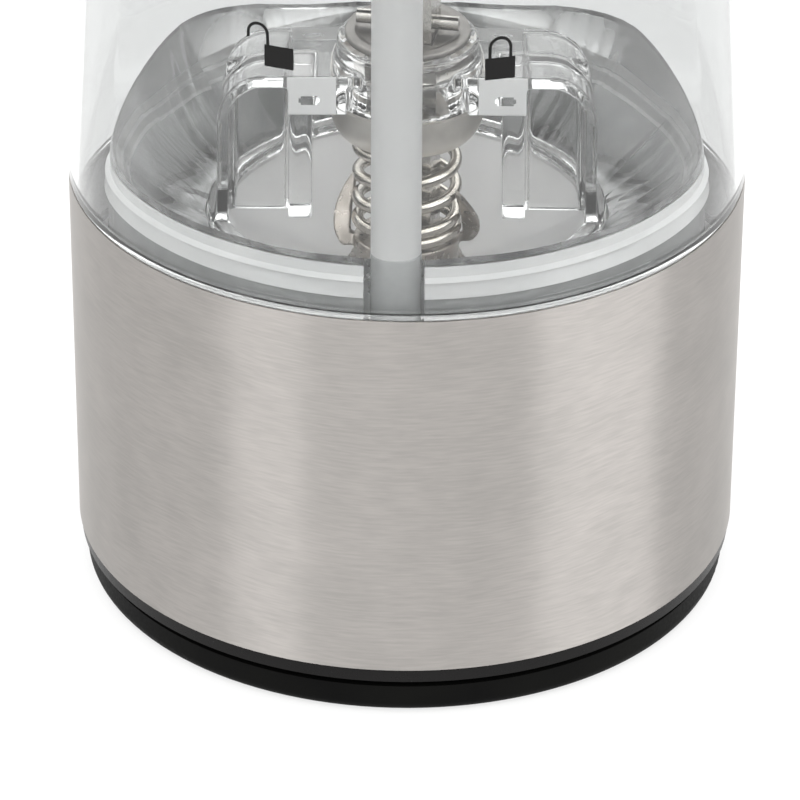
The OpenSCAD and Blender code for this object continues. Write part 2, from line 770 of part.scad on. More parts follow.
module conduit_plug() {
    color("#262524") difference() {
        polar(conduit_r, conduit_turn, conduit_top_z) cylinder(d = conduit_d, h = plug_l);
        conduit_pair() translate([0, 0, conduit_top_z - over])
            cylinder(d = wire_d + 2 * run_gap, h = plug_l + 2 * over);
    }
}

module conduit_pins() {
    color("#c9a552") conduit_pair() translate([0, 0, conduit_top_z])
        cylinder(d = wire_d, h = pin_top_z - conduit_top_z);
}

lamp_top_z = rim_z + slip_gap + lamp_l;

module lamp() {
    dome_r = lamp_d / 2;
    collar_reach = 0.5;
    collar_t = 1;
    color("#f4f1dc") polar(lamp_r, conduit_turn) {
        translate([0, 0, rim_z + slip_gap + dome_r]) sphere(r = dome_r, $fn = 32);
        translate([0, 0, rim_z + slip_gap + dome_r]) cylinder(r = dome_r, h = lamp_l - dome_r);
        translate([0, 0, floor_z]) cylinder(r = dome_r + collar_reach, h = collar_t);
    }
}

module lamp_wires() {
    color("#9c2b22") conduit_pair() translate([0, 0, lamp_top_z])
        cylinder(d = wire_d, h = conduit_top_z - lamp_top_z);
}

module base_screws() {
    color("#8d8c8a") base_screw_places() translate([0, 0, base_screw_seat_z])
        screw(base_screw_head_d, base_screw_head_h, base_screw_d, base_screw_l);
}

module dust_cap() {
    color("#232220") rotate_extrude() difference() {
        union() {
            square([cap_r - cap_round, cap_h]);
            translate([0, cap_round]) square([cap_r, cap_h - cap_round]);
            translate([cap_r - cap_round, cap_round]) circle(r = cap_round);
        }
        translate([-over, cap_floor]) square([cap_in_r + over, cap_h]);
    }
}

// Rotor

module drive_shaft() {
    thread_z = knob_z + knob_skin + burr_travel + fit_gap;
    square_z = burr_z - over;
    color("#b5b2ab") difference() {
        union() {
            translate([0, 0, square_z]) square_bar(shaft_side, shaft_top_z - square_z);
            translate([0, 0, thread_z]) cylinder(d = thread_d, h = square_z - thread_z + over);
        }
        rotate(shaft_turn) translate([0, 0, pin_z]) rotate([0, 90, 0])
            cylinder(d = pin_d + 2 * run_gap, h = pin_l + 2 * over, center = true);
    }
}

module shaft_washer() {
    color("#c4c1bb") translate([0, 0, washer_z]) difference() {
        cylinder(d = washer_d, h = washer_t);
        translate([0, 0, -over]) square_bar(square_hole, washer_t + 2 * over);
    }
}

module shaft_pin() {
    color("#cbb893") rotate(shaft_turn) translate([0, 0, pin_z]) rotate([0, 90, 0])
        cylinder(d = pin_d, h = pin_l, center = true);
}

module spring_cup() {
    rim_low = 0.7 * cup_h;
    color("#8f8a83") translate([0, 0, cup_z]) difference() {
        rotate_extrude() polygon([
            [0, 0], [cup_floor_d / 2, 0], [cup_d / 2, rim_low], [cup_d / 2, cup_h],
            [cup_d / 2 - sheet_t, cup_h], [cup_d / 2 - sheet_t, rim_low + sheet_t / 4],
            [cup_floor_d / 2 - sheet_t / 2, sheet_t], [0, sheet_t]
        ]);
        translate([0, 0, -over]) square_bar(square_hole, cup_h + 2 * over);
    }
}

// The foot turn is narrow, and the wide turns share what is left of the height
function spring_heights(h, foot_pitch, turns) = [
    for (i = [0 : turn_rings * (turns + 1)])
        let (turn = i / turn_rings)
        turn <= 1 ? turn * foot_pitch : foot_pitch + (turn - 1) * (h - foot_pitch) / turns
];

module grinder_spring() {
    room = cup_z - spring_z - spring_wire - 2 * fit_gap;
    heights = spring_heights(room, spring_foot_pitch, spring_turns);
    color("#a8a49d") translate([0, 0, spring_z + spring_wire / 2 + fit_gap])
        coil((spring_d - spring_wire) / 2, spring_wire, heights);
}

module inner_burr() {
    cone_z = burr_top_z - burr_cone_h;
    cone_low_r = burr_mouth_d / 2 - burr_gap;
    cone_high_r = burr_neck_d / 2;
    groove_out = burr_groove / 4;
    neck_step = 0.4;
    color("#dcd6c9") difference() {
        union() {
            translate([0, 0, boss_z]) cylinder(d = burr_boss_d, h = cone_z - boss_z + over);
            translate([0, 0, cone_z]) difference() {
                cylinder(r1 = cone_low_r, r2 = cone_high_r, h = burr_cone_h);
                cone_grooves(inner_teeth, cone_low_r + groove_out, cone_high_r + groove_out, burr_cone_h);
            }
            translate([0, 0, cone_z]) cylinder(r = cone_high_r - neck_step, h = wing_z - cone_z);
        }
        translate([0, 0, boss_z - over]) square_bar(square_hole, wing_z - boss_z + 2 * over);
    }
}

module feed_wings() {
    ear_in_r = spring_d / 2 + slip_gap;
    ear_w = wing_reach - ear_in_r;
    color("#9b958d") {
        translate([0, 0, wing_z]) difference() {
            cylinder(r = ear_in_r + ear_w / 2, h = sheet_t);
            translate([0, 0, -over]) square_bar(square_hole, sheet_t + 2 * over);
        }
        for (turn = [0, 180])
            rotate(turn + wing_turn) translate([ear_in_r, 0, wing_z]) rotate([90, 0, 0])
                linear_extrude(height = 2 * sheet_t, center = true) {
                    square([ear_w, wing_h - ear_w / 2]);
                    translate([ear_w / 2, wing_h - ear_w / 2]) circle(d = ear_w);
                }
    }
}

module grind_knob() {
    flute_r = 1.3;
    color("#2a2927") translate([0, 0, knob_z]) difference() {
        cylinder(d = knob_d, h = knob_h);
        for (i = [0 : knob_flutes - 1])
            polar(knob_d / 2 + flute_r / 2, 360 * i / knob_flutes, -over)
                cylinder(r = flute_r, h = knob_h + 2 * over);
        translate([0, 0, knob_skin]) cylinder(d = thread_d + 2 * run_gap, h = knob_h);
    }
}

// Head

module head_gasket() {
    color("#3a3937") translate([0, 0, gasket_z])
        pipe(rim_r - fit_gap, lug_r + slip_gap, gasket_h);
}

module gearbox_screw_places() {
    for (i = [0 : planets - 1]) polar(ear_circle_r, 60 + 360 * i / planets) children();
}

module head_chassis() {
    shelf_w = 1;
    shelf_r = holder_r - shelf_w;
    pilot_skin = 0.6;
    pilot_h = chassis_floor - pilot_skin;
    color("#24282b") difference() {
        union() {
            translate([0, 0, chassis_z]) pipe(chassis_r, chassis_in_r, head_top_z - chassis_z);
            translate([0, 0, chassis_z]) pipe(rim_r, chassis_in_r, lip_h);
            translate([0, 0, head_floor_z]) cylinder(r = chassis_mid_r, h = chassis_floor);
            translate([0, 0, holder_z - holder_plate]) pipe(chassis_mid_r, shelf_r, holder_plate);
            for (i = [0 : lugs - 1]) translate([0, 0, head_lug_z])
                sector(neck_r + slip_gap, chassis_mid_r, lug_h, 360 * i / lugs - lock_turn, lug_half);
        }
        translate([0, 0, head_floor_z - over])
            cylinder(r = coupler_neck_r + slip_gap, h = chassis_floor + 2 * over);
        gearbox_screw_places() translate([0, 0, gearbox_z - pilot_h])
            cylinder(d = gear_screw_d + 2 * run_gap, h = pilot_h + over);
    }
}

module head_sleeve() {
    color("#b9b4ac") translate([0, 0, head_sleeve_z]) pipe(body_r, sleeve_in_r, head_top_z - head_sleeve_z);
}

module contact_rings() {
    ring_w = 0.7;
    color("#c9a552") for (r = [conduit_r - contact_step, conduit_r + contact_step])
        translate([0, 0, head_floor_z - contact_t]) pipe(r + ring_w / 2, r - ring_w / 2, contact_t);
}

module gearbox_cover() {
    color("#d8d5cc") translate([0, 0, gearbox_z]) difference() {
        union() {
            cylinder(r = case_r, h = case_plate);
            gearbox_screw_places() cylinder(r = ear_r, h = case_plate);
        }
        translate([0, 0, -over]) cylinder(d = output_d + 2 * run_gap, h = case_plate + 2 * over);
        gearbox_screw_places() translate([0, 0, -over])
            cylinder(d = gear_screw_d + 2 * run_gap, h = case_plate + 2 * over);
    }
}

module gearbox_case() {
    case_z = gearbox_z + case_plate;
    color("#e3e0d6") difference() {
        union() {
            translate([0, 0, case_z]) cylinder(r = case_r, h = motor_z - case_z);
            gearbox_screw_places() translate([0, 0, case_z]) cylinder(r = ear_r, h = ear_h);
        }
        translate([0, 0, case_z - over]) linear_extrude(height = case_top_z - case_z + over)
            rotate(180 / ring_teeth) polygon(gear_outline(ring_teeth, dedendum, addendum, -gear_play));
        translate([0, 0, case_top_z - over]) cylinder(r = motor_boss_r + fit_gap, h = case_plate + 2 * over);
        for (side = [-1, 1]) translate([side * motor_screw_r, 0, case_top_z])
            motor_screw_form(fit_gap, case_plate + over);
        gearbox_screw_places() translate([0, 0, case_z - over]) {
            cylinder(d = gear_screw_d + 2 * run_gap, h = ear_h + 2 * over);
            translate([0, 0, ear_h + over])
                cylinder(d = gear_screw_head_d + 2 * fit_gap, h = gear_screw_head_h + over);
        }
    }
}

module gearbox_screws() {
    seat_z = gearbox_z + case_plate + ear_h;
    end_gap = 1;
    shank_l = ear_h + case_plate + chassis_floor - end_gap;
    color("#8d8c8a") gearbox_screw_places() translate([0, 0, seat_z]) mirror([0, 0, 1])
        screw(gear_screw_head_d, gear_screw_head_h, gear_screw_d, shank_l);
}

// Countersunk screw whose head lies flush with the plate's underside
module motor_screw_form(gap, l) {
    head_h = 1;
    cylinder(d1 = 2 * motor_screw_d + 2 * gap, d2 = motor_screw_d + 2 * gap, h = head_h);
    cylinder(d = motor_screw_d + 2 * gap, h = l);
}

motor_thread_l = 3;

module motor_can() {
    color("#a9a7a2") difference() {
        union() {
            translate([0, 0, motor_z]) cylinder(d = motor_d, h = motor_l);
            translate([0, 0, case_top_z + slip_gap]) cylinder(r = motor_boss_r, h = case_plate);
        }
        translate([0, 0, case_top_z - over])
            cylinder(d = motor_shaft_d + 2 * run_gap, h = case_plate + motor_l / 2);
        for (side = [-1, 1]) translate([side * motor_screw_r, 0, motor_z - over])
            cylinder(d = motor_screw_d + 2 * fit_gap, h = motor_thread_l + over);
    }
}

motor_tab_h = 2.5;
motor_tab_top_z = motor_z + motor_l + motor_cap_l + motor_tab_h;

module motor_cap() {
    tab_w = 2;
    tab_t = 0.6;
    color("#20303c") translate([0, 0, motor_z + motor_l]) {
        cylinder(d = motor_d, h = motor_cap_l);
        for (side = [-1, 1]) translate([side * motor_screw_r - tab_w / 2, -tab_t / 2, motor_cap_l - over])
            cube([tab_w, tab_t, motor_tab_h + over]);
    }
}

module motor_screws() {
    color("#8d8c8a") for (side = [-1, 1]) translate([side * motor_screw_r, 0, case_top_z])
        motor_screw_form(0, case_plate + motor_thread_l - slip_gap);
}

module motor_leads() {
    lead_d = 1.2;
    color("#9c2b22") for (side = [-1, 1]) translate([side * motor_screw_r, 0, motor_tab_top_z])
        cylinder(d = lead_d, h = board_z - motor_tab_top_z);
}

module cell_places() {
    for (i = [0 : cells - 1]) polar(cell_circle_r, 360 * i / cells) children();
}

module battery_holder() {
    fin_t = 1.4;
    tube_out_r = holder_tube_r + holder_tube_wall;
    shelf_h = 1.2;
    shelf_w = 1;
    top_plate = holder_top_z - holder_z - holder_plate;
    color("#2c2b29") translate([0, 0, holder_z]) {
        pipe(tube_out_r, holder_tube_r, holder_top_z - holder_z);
        for (z = [0, top_plate]) translate([0, 0, z]) pipe(holder_r, holder_tube_r, holder_plate);
        for (i = [0 : cells - 1])
            rotate(360 * (i + 0.5) / cells) translate([tube_out_r - holder_tube_wall / 2, -fin_t / 2, 0])
                cube([holder_r - tube_out_r - over, fin_t, holder_top_z - holder_z]);
        translate([0, 0, board_z - holder_z - shelf_h]) pipe(tube_out_r, board_r - shelf_w, shelf_h);
    }
}

// Every second cell stands on its nub
module battery(index) {
    nub_h = 0.8;
    nub_d = 3.8;
    up = index % 2;
    color(up ? "#50606b" : "#b87333") polar(cell_circle_r, 360 * (index - 1) / cells, cell_z) {
        translate([0, 0, up ? 0 : nub_h]) cylinder(d = cell_d, h = cell_l - nub_h);
        cylinder(d = nub_d, h = cell_l);
    }
}

module battery_springs() {
    room = cell_spring_l - cell_spring_wire - 2 * fit_gap;
    rings = cell_spring_turns * turn_rings;
    heights = [for (i = [0 : rings]) room * i / rings];
    color("#c9c9c7") cell_places() translate([0, 0, holder_z + holder_plate + fit_gap + cell_spring_wire / 2])
        coil((cell_spring_d - cell_spring_wire) / 2, cell_spring_wire, heights);
}

module contact_plates() {
    plate_d = 7;
    color("#c9a552") cell_places() translate([0, 0, cell_top_z + fit_gap / 2])
        cylinder(d = plate_d, h = plate_t);
}

module switch_board() {
    color("#2f5b3a") translate([0, 0, board_z]) cylinder(r = board_r, h = board_t);
}

module switch_body() {
    plunger_d = 3.5;
    color("#303030") {
        translate([-switch_side / 2, -switch_side / 2, board_z + board_t])
            cube([switch_side, switch_side, switch_h]);
        translate([0, 0, plunger_z - over]) cylinder(d = plunger_d, h = plunger_h + over);
    }
}

module button_spring() {
    foot_z = board_z + board_t + fit_gap;
    room = button_roof_z - foot_z - button_spring_wire - fit_gap;
    rings = button_spring_turns * turn_rings;
    heights = [for (i = [0 : rings]) room * i / rings];
    color("#c9c9c7") translate([0, 0, foot_z + button_spring_wire / 2])
        coil((button_spring_d - button_spring_wire) / 2, button_spring_wire, heights);
}

// Gear train

module motor_pinion() {
    color("#b8a15a") {
        translate([0, 0, upper_gear_z]) gear(sun_teeth, 0);
        translate([0, 0, upper_gear_z])
            cylinder(d = motor_shaft_d, h = motor_z + motor_l / 4 - upper_gear_z);
    }
}

module upper_carrier() {
    color("#cfc7ae") {
        translate([0, 0, upper_carrier_z]) carrier_disc();
        translate([0, 0, lower_gear_z]) gear(sun_teeth, 0);
        translate([0, 0, lower_gear_z + gear_w - over / 2])
            cylinder(r = gear_m * sun_teeth / 2 - dedendum, h = over);
    }
}

module output_carrier() {
    stub_z = coupler_roof_z + coupler_floor;
    color("#cfc7ae") {
        translate([0, 0, output_z]) carrier_disc();
        translate([0, 0, stub_z]) cylinder(d = output_d, h = output_z - stub_z + carrier_t / 2);
    }
}

module drive_coupler() {
    neck_top = gearbox_z - slip_gap;
    stub_z = coupler_roof_z + coupler_floor;
    rib_l = coupler_bore_r - rib_tip_r + over / 2;
    color("#2b2a28") {
        difference() {
            union() {
                translate([0, 0, coupler_z]) cylinder(d = coupler_d, h = coupler_top_z - coupler_z);
                translate([0, 0, coupler_z]) cylinder(r = coupler_neck_r, h = neck_top - coupler_z);
            }
            translate([0, 0, coupler_z - over])
                cylinder(r = coupler_bore_r, h = coupler_roof_z - coupler_z + over);
            translate([0, 0, stub_z - fit_gap])
                cylinder(d = output_d + 2 * run_gap, h = neck_top - stub_z + over);
        }
        for (turn = [0 : 90 : 270])
            rotate(turn + shaft_turn - lock_turn / 2) translate([rib_tip_r, -coupler_rib / 2, coupler_z])
                cube([rib_l, coupler_rib, coupler_roof_z - coupler_z + over / 2]);
    }
}

// Top

module top_cap() {
    skirt_in_r = holder_r + slip_gap;
    skirt_r = chassis_in_r - slip_gap;
    color("#1f1e1d") rotate_extrude() difference() {
        union() {
            translate([0, head_top_z]) square([rim_r, top_z - head_top_z - top_round]);
            translate([0, head_top_z]) square([rim_r - top_round, top_z - head_top_z]);
            translate([rim_r - top_round, top_z - top_round]) circle(r = top_round);
            translate([skirt_in_r, head_top_z - skirt_h]) square([skirt_r - skirt_in_r, skirt_h + over]);
        }
        translate([-over, head_top_z - over]) square([skirt_in_r + over, cap_side_h + over]);
        translate([-over, head_top_z]) square([button_hole_r + over, top_z]);
    }
}

module push_button() {
    flange_w = 1;
    flange_r = button_hole_r + flange_w;
    edge_r = 1;
    stem_r = 2;
    button_r = button_d / 2;
    color("#b3b0aa") {
        rotate_extrude() difference() {
            union() {
                translate([0, button_flange_z]) square([button_r, button_top_z - edge_r - button_flange_z]);
                translate([0, button_flange_z]) square([button_r - edge_r, button_top_z - button_flange_z]);
                translate([button_r - edge_r, button_top_z - edge_r]) circle(r = edge_r);
                translate([0, button_flange_z]) square([flange_r, button_flange]);
            }
            translate([-over, button_flange_z - over])
                square([button_r - button_wall + over, button_roof_z - button_flange_z + over]);
        }
        translate([0, 0, stem_z]) cylinder(r = stem_r, h = button_roof_z - stem_z + button_wall / 2);
    }
}

base_housing();
steel_sleeve();
grinder_housing();
outer_burr();
hopper_ring();
bearing_bridge();
clear_chamber();
mouth_collar();
conduit_tube();
conduit_plug();
conduit_pins();
lamp();
lamp_wires();
base_screws();
dust_cap();
drive_shaft();
shaft_washer();
shaft_pin();
spring_cup();
grinder_spring();
inner_burr();
feed_wings();
grind_knob();
head_gasket();
head_chassis();
head_sleeve();
contact_rings();
gearbox_cover();
gearbox_case();
gearbox_screws();
motor_can();
motor_cap();
motor_screws();
motor_leads();
battery_holder();
for (index = [1 : cells]) battery(index);
battery_springs();
contact_plates();
switch_board();
switch_body();
button_spring();
motor_pinion();
upper_carrier();
for (index = [1 : planets])
    planet(index - 1, upper_gear_z);
output_carrier();
drive_coupler();
for (index = [1 : planets])
    planet(index - 1, lower_gear_z);
top_cap();
push_button();
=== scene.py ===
"""Electric pepper mill: finishes for its solids, and the pieces that need a finer form than they have."""

import logging
import math
from dataclasses import dataclass, field
from enum import Enum
from typing import Any, Callable, Iterable

import bpy
from mathutils import Matrix, Vector

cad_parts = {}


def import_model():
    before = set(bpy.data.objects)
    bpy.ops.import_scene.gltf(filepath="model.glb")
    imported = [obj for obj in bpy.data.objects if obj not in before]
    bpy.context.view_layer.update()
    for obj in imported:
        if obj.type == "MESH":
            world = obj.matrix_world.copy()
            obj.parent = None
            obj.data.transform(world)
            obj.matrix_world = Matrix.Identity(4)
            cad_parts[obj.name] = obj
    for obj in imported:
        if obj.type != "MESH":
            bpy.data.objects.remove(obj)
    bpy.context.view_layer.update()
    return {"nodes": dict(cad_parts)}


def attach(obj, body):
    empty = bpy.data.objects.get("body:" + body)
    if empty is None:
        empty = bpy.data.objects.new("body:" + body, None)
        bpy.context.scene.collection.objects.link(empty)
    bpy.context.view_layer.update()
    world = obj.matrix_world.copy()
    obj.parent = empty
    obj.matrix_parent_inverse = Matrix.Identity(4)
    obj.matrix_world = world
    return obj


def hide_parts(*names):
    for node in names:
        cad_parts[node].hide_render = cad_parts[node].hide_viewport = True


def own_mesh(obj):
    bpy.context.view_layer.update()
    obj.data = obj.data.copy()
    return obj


log = logging.getLogger("pepper_mill")

MM = 0.001
# Values of a noise between which a finish runs from one end to the other
TONE_ENDS = (0.35, 0.65)
GRAIN_ENDS = (0.3, 0.7)
# Most of a side that the round of a corner may take
ROUND_SHARE = 0.45

Point = tuple[float, float, float]
Profile = list[tuple[float, float]]
Form = tuple[list[Point], list[tuple[int, ...]]]
Piece = bpy.types.Object
Tree = bpy.types.NodeTree
Socket = bpy.types.NodeSocket


class Body(Enum):
    """The moving bodies that the added pieces ride on."""

    BASE = "base"
    ROTOR = "rotor"
    BURR = "burr"
    HEAD = "head"


def linear(code: str) -> tuple[float, float, float, float]:
    """Turn an sRGB hex colour into linear light.

    Args:
        code: Six hex digits with a leading hash.

    Returns:
        Red, green, blue and a full alpha.
    """
    parts = [int(code[i : i + 2], 16) / 255 for i in (1, 3, 5)]
    red, green, blue = [p / 12.92 if p <= 0.04045 else ((p + 0.055) / 1.055) ** 2.4 for p in parts]
    return red, green, blue, 1.0


def per_metre(size_mm: float) -> float:
    """Texture scale at which one feature is size_mm wide."""
    return 1 / (size_mm * MM)


def add_node(
    tree: Tree,
    kind: str,
    links: dict[str | int, Any] | None = None,
    values: dict[str | int, Any] | None = None,
    **settings: Any,
) -> bpy.types.Node:
    """Add one shader node.

    Args:
        tree: The material's or the world's node tree.
        kind: Blender's name of the node.
        links: Input name or number to the output socket that feeds it.
        values: Input name or number to its constant.
        settings: The node's own properties.

    Returns:
        The new node.
    """
    node = tree.nodes.new(kind)
    for name, value in settings.items():
        setattr(node, name, value)
    for name, value in (values or {}).items():
        node.inputs[name].default_value = value
    for name, source in (links or {}).items():
        tree.links.new(source, node.inputs[name])
    return node


@dataclass(frozen=True)
class Finish:
    """A moulded or cast surface: two near colours that drift into each other, over a fine grain."""

    name: str
    light: str
    dark: str
    roughness: float
    roughness_drift: float = 0.06
    metallic: float = 0.0
    ior: float = 1.5
    clear: float = 0.0
    shine: float = 0.5
    drift_mm: float = 9.0
    grain_mm: float = 0.35
    grain_depth_mm: float = 0.004
    grain_strength: float = 0.25
    shader: dict[str, Any] = field(default_factory=dict)

    def make(self) -> bpy.types.Material:
        """Build the material, or return it if it is there already."""
        label = f"{self.name}_finish"
        if label in bpy.data.materials:
            return bpy.data.materials[label]
        material = bpy.data.materials.new(label)
        material.use_nodes = True
        tree = material.node_tree
        tree.nodes.clear()
        place = add_node(tree, "ShaderNodeTexCoord")
        surface = self.surface(tree, place.outputs["Object"])
        add_node(tree, "ShaderNodeOutputMaterial", {"Surface": surface})
        return material

    def surface(self, tree: Tree, place: Socket) -> Socket:
        """Lay the finish on the shader.

        Args:
            tree: The material's node tree.
            place: Position on the object, in metres.

        Returns:
            The shader's output.
        """
        drift = add_node(tree, "ShaderNodeTexNoise", {"Vector": place},
                         {"Scale": per_metre(self.drift_mm), "Detail": 3.0})
        grain = add_node(tree, "ShaderNodeTexNoise", {"Vector": self.grain_place(tree, place)},
                         {"Scale": per_metre(self.grain_mm), "Detail": 2.0})
        return self.shade(tree, drift.outputs["Fac"], grain.outputs["Fac"])

    def grain_place(self, tree: Tree, place: Socket) -> Socket:
        """Where the grain is read; even in all directions here."""
        return place

    def shade(self, tree: Tree, drift: Socket, grain: Socket) -> Socket:
        """Join drift and grain in one shader.

        Args:
            tree: The material's node tree.
            drift: Slow change over the surface, 0 to 1.
            grain: Fine change over the surface, 0 to 1.

        Returns:
            The shader's output.
        """
        tone = add_node(tree, "ShaderNodeValToRGB", {"Fac": self.tone(tree, drift, grain)})
        for stop, position, code in zip(tone.color_ramp.elements, TONE_ENDS, (self.dark, self.light)):
            stop.position = position
            stop.color = linear(code)
        rough = add_node(tree, "ShaderNodeMapRange", {"Value": grain}, {
            "From Min": GRAIN_ENDS[0], "From Max": GRAIN_ENDS[1],
            "To Min": self.roughness, "To Max": self.roughness + self.roughness_drift,
        })
        bump = add_node(tree, "ShaderNodeBump", {"Height": grain}, {
            "Strength": self.grain_strength, "Distance": self.grain_depth_mm * MM,
        })
        links = {
            "Base Color": tone.outputs["Color"], "Roughness": rough.outputs["Result"],
            "Normal": bump.outputs["Normal"],
        }
        links.update(self.more_links(tree))
        values = {
            "Metallic": self.metallic, "IOR": self.ior, "Transmission Weight": self.clear,
            "Specular IOR Level": self.shine, **self.shader,
        }
        return add_node(tree, "ShaderNodeBsdfPrincipled", links, values).outputs["BSDF"]

    def tone(self, tree: Tree, drift: Socket, grain: Socket) -> Socket:
        """What moves the colour between its two ends; the slow drift here."""
        return drift

    def more_links(self, tree: Tree) -> dict[str | int, Any]:
        """Further links into the shader; none here."""
        return {}


@dataclass(frozen=True)
class Brushed(Finish):
    """Sheet metal brushed round the axis: fine level lines that draw each highlight into an upright band."""

    line_mm: float = 0.3
    line_length_mm: float = 9.0
    line_share: float = 0.6
    sway_mm: float = 16.0
    sway_rise_mm: float = 2.2

    def grain_place(self, tree: Tree, place: Socket) -> Socket:
        """Stretch the grain along the brush lines, which sway a little."""
        sway = add_node(tree, "ShaderNodeTexNoise", {"Vector": place},
                        {"Scale": per_metre(self.sway_mm), "Detail": 1.0})
        lift = add_node(tree, "ShaderNodeVectorMath", {0: sway.outputs["Color"]},
                        {1: (0, 0, self.sway_rise_mm * MM)}, operation="MULTIPLY")
        swayed = add_node(tree, "ShaderNodeVectorMath", {0: place, 1: lift.outputs["Vector"]},
                          operation="ADD")
        along = self.grain_mm / self.line_length_mm
        across = self.grain_mm / self.line_mm
        stretch = add_node(tree, "ShaderNodeVectorMath", {0: swayed.outputs["Vector"]},
                           {1: (along, along, across)}, operation="MULTIPLY")
        return stretch.outputs["Vector"]

    def tone(self, tree: Tree, drift: Socket, grain: Socket) -> Socket:
        """Brush lines show in the colour too, over the slow drift."""
        lines = add_node(tree, "ShaderNodeMath", {0: grain}, {1: self.line_share}, operation="MULTIPLY")
        both = add_node(tree, "ShaderNodeMath", {0: drift, 2: lines.outputs["Value"]},
                        {1: 1 - self.line_share}, operation="MULTIPLY_ADD")
        return both.outputs["Value"]

    def more_links(self, tree: Tree) -> dict[str | int, Any]:
        """The brush runs round the axis."""
        run = add_node(tree, "ShaderNodeTangent", direction_type="RADIAL", axis="Z")
        return {"Tangent": run.outputs["Tangent"]}


class Finishes:
    """Every finish on the mill."""

    # Stainless sheet, brushed round the body: warm grey, fine level lines, upright bands of light.
    # The lines are drawn coarser than real ones so that they show
    STAINLESS = Brushed("brushed_stainless", "#9f9b98", "#93908d", 0.4, 0.05, 1.0, drift_mm=5.0,
                        grain_depth_mm=0.003, grain_strength=0.15, line_mm=0.2, line_length_mm=2.4,
                        shader={"Anisotropic": 1.0, "Anisotropic Rotation": 0.25})
    # ABS moulded in a polished tool: black with a soft shine
    BLACK_GLOSS = Finish("black_abs_polished", "#100f0f", "#0c0b0b", 0.25, 0.08, shine=0.16, grain_mm=0.5)
    # ABS moulded in a spark-eroded tool: black, dull, with a fine stipple
    BLACK_MATTE = Finish("black_abs_stippled", "#0c0c0b", "#080808", 0.42, 0.12, shine=0.04, grain_mm=0.3,
                         grain_depth_mm=0.012, grain_strength=0.5)
    # ABS for the inside of the head: dark grey, dull
    DARK_INNER = Finish("dark_grey_abs", "#2b2c2e", "#242527", 0.45, 0.1, grain_mm=0.4)
    # PMMA, moulded and polished: clear, slightly grey through two walls, with bright edges
    ACRYLIC = Finish("clear_acrylic", "#e5e6e6", "#e3e4e4", 0.0, 0.01, ior=1.49, clear=1.0, drift_mm=30.0,
                     grain_mm=14.0, grain_depth_mm=0.02, grain_strength=0.05)
    # Styrene acrylonitrile, moulded: clear, slightly grey, with a wavy moulded skin
    STYRENE = Finish("clear_styrene", "#fafafa", "#f5f5f5", 0.02, 0.04, ior=1.55, clear=1.0, drift_mm=6.0,
                     grain_mm=3.0, grain_depth_mm=0.05, grain_strength=0.2)
    # The same styrene in the thick ring, polished on top: nearly clear, with streaks of light
    RING_STYRENE = Finish("thick_clear_styrene", "#fdfdfd", "#f8f9f9", 0.035, 0.05, ior=1.55, clear=0.94,
                          drift_mm=6.0, grain_mm=3.0, grain_depth_mm=0.05, grain_strength=0.2)
    # The ring's underside, spark eroded: clear but dull, so the light under the dish is soft
    ERODED_STYRENE = Finish("eroded_clear_styrene", "#fdfdfd", "#f8f9f9", 0.32, 0.08, ior=1.55, clear=0.94,
                            drift_mm=6.0, grain_mm=1.0, grain_depth_mm=0.03, grain_strength=0.2)
    # The ring's skirt: a glassy, nearly opaque white whose brightness is painted light, standing for the
    # bright band of light carried and refracted through the clear ring
    PAINTED_LIGHT_BAND = Finish("painted_light_band_styrene", "#fdfdfd", "#f6f7f7", 0.12, 0.1, ior=1.55, clear=0.15,
                           drift_mm=5.0, grain_mm=2.0, grain_depth_mm=0.04, grain_strength=0.3)
    # The tube's socket and the ring's foot, thick all through: grey and cloudy
    SOCKET_STYRENE = Finish("cloudy_styrene", "#e6e8e8", "#d9dbdb", 0.06, 0.06, ior=1.55, clear=0.5,
                            drift_mm=2.0, grain_mm=1.5, grain_depth_mm=0.03, grain_strength=0.2)
    # Styrene acrylonitrile from an etched tool: clear inside, with a frosted white face
    FROST = Finish("etched_styrene", "#fbfbfb", "#f5f5f5", 0.42, 0.1, ior=1.55, clear=0.12, drift_mm=4.0,
                   grain_mm=0.5, grain_depth_mm=0.01, grain_strength=0.3)
    # ABS moulded in a polished tool: pale grey funnel with a wet-looking shine
    PALE_ABS = Finish("pale_grey_abs", "#f0efef", "#e9e8e8", 0.16, 0.08, grain_mm=1.2)
    # Alumina, pressed and fired: off-white with a dull skin
    CERAMIC = Finish("fired_alumina", "#e9e4d8", "#ddd6c8", 0.38, 0.14, grain_mm=0.25, grain_depth_mm=0.01)
    # Polypropylene tube, drawn: milky white, light runs through it
    MILKY = Finish("milky_polypropylene", "#e3e3e3", "#dddddd", 0.3, 0.08, grain_mm=2.0,
                   shader={"Subsurface Weight": 0.4, "Subsurface Radius": (0.002, 0.002, 0.002)})
    # Silicone rubber: charcoal, dull
    SILICONE = Finish("silicone_rubber", "#3d3c3b", "#343332", 0.62, 0.1, ior=1.41, grain_mm=0.4)
    # Acetal, moulded: off-white, waxy
    ACETAL = Finish("moulded_acetal", "#e8e5db", "#dedace", 0.36, 0.1, ior=1.48, grain_mm=0.5)
    # Brass, turned: yellow with fine turning marks
    BRASS = Finish("turned_brass", "#d9b864", "#c7a552", 0.2, 0.12, 1.0, grain_mm=0.3)
    # Drawn steel bar: bright and cool, with faint draw lines
    BRIGHT_STEEL = Finish("drawn_steel", "#c6c3be", "#b3b0ab", 0.16, 0.12, 1.0, drift_mm=3.0, grain_mm=0.6)
    # Tumbled steel washer: dull grey
    DULL_STEEL = Finish("tumbled_steel", "#8f8c89", "#7f7c79", 0.34, 0.1, 1.0, drift_mm=2.0, grain_mm=0.4)
    # Pressed steel sheet: smooth bends with a soft shine
    PRESSED_STEEL = Finish("pressed_steel", "#b0a9a2", "#958f88", 0.26, 0.06, 1.0, drift_mm=2.5, grain_mm=0.6,
                           grain_depth_mm=0.002, grain_strength=0.06)
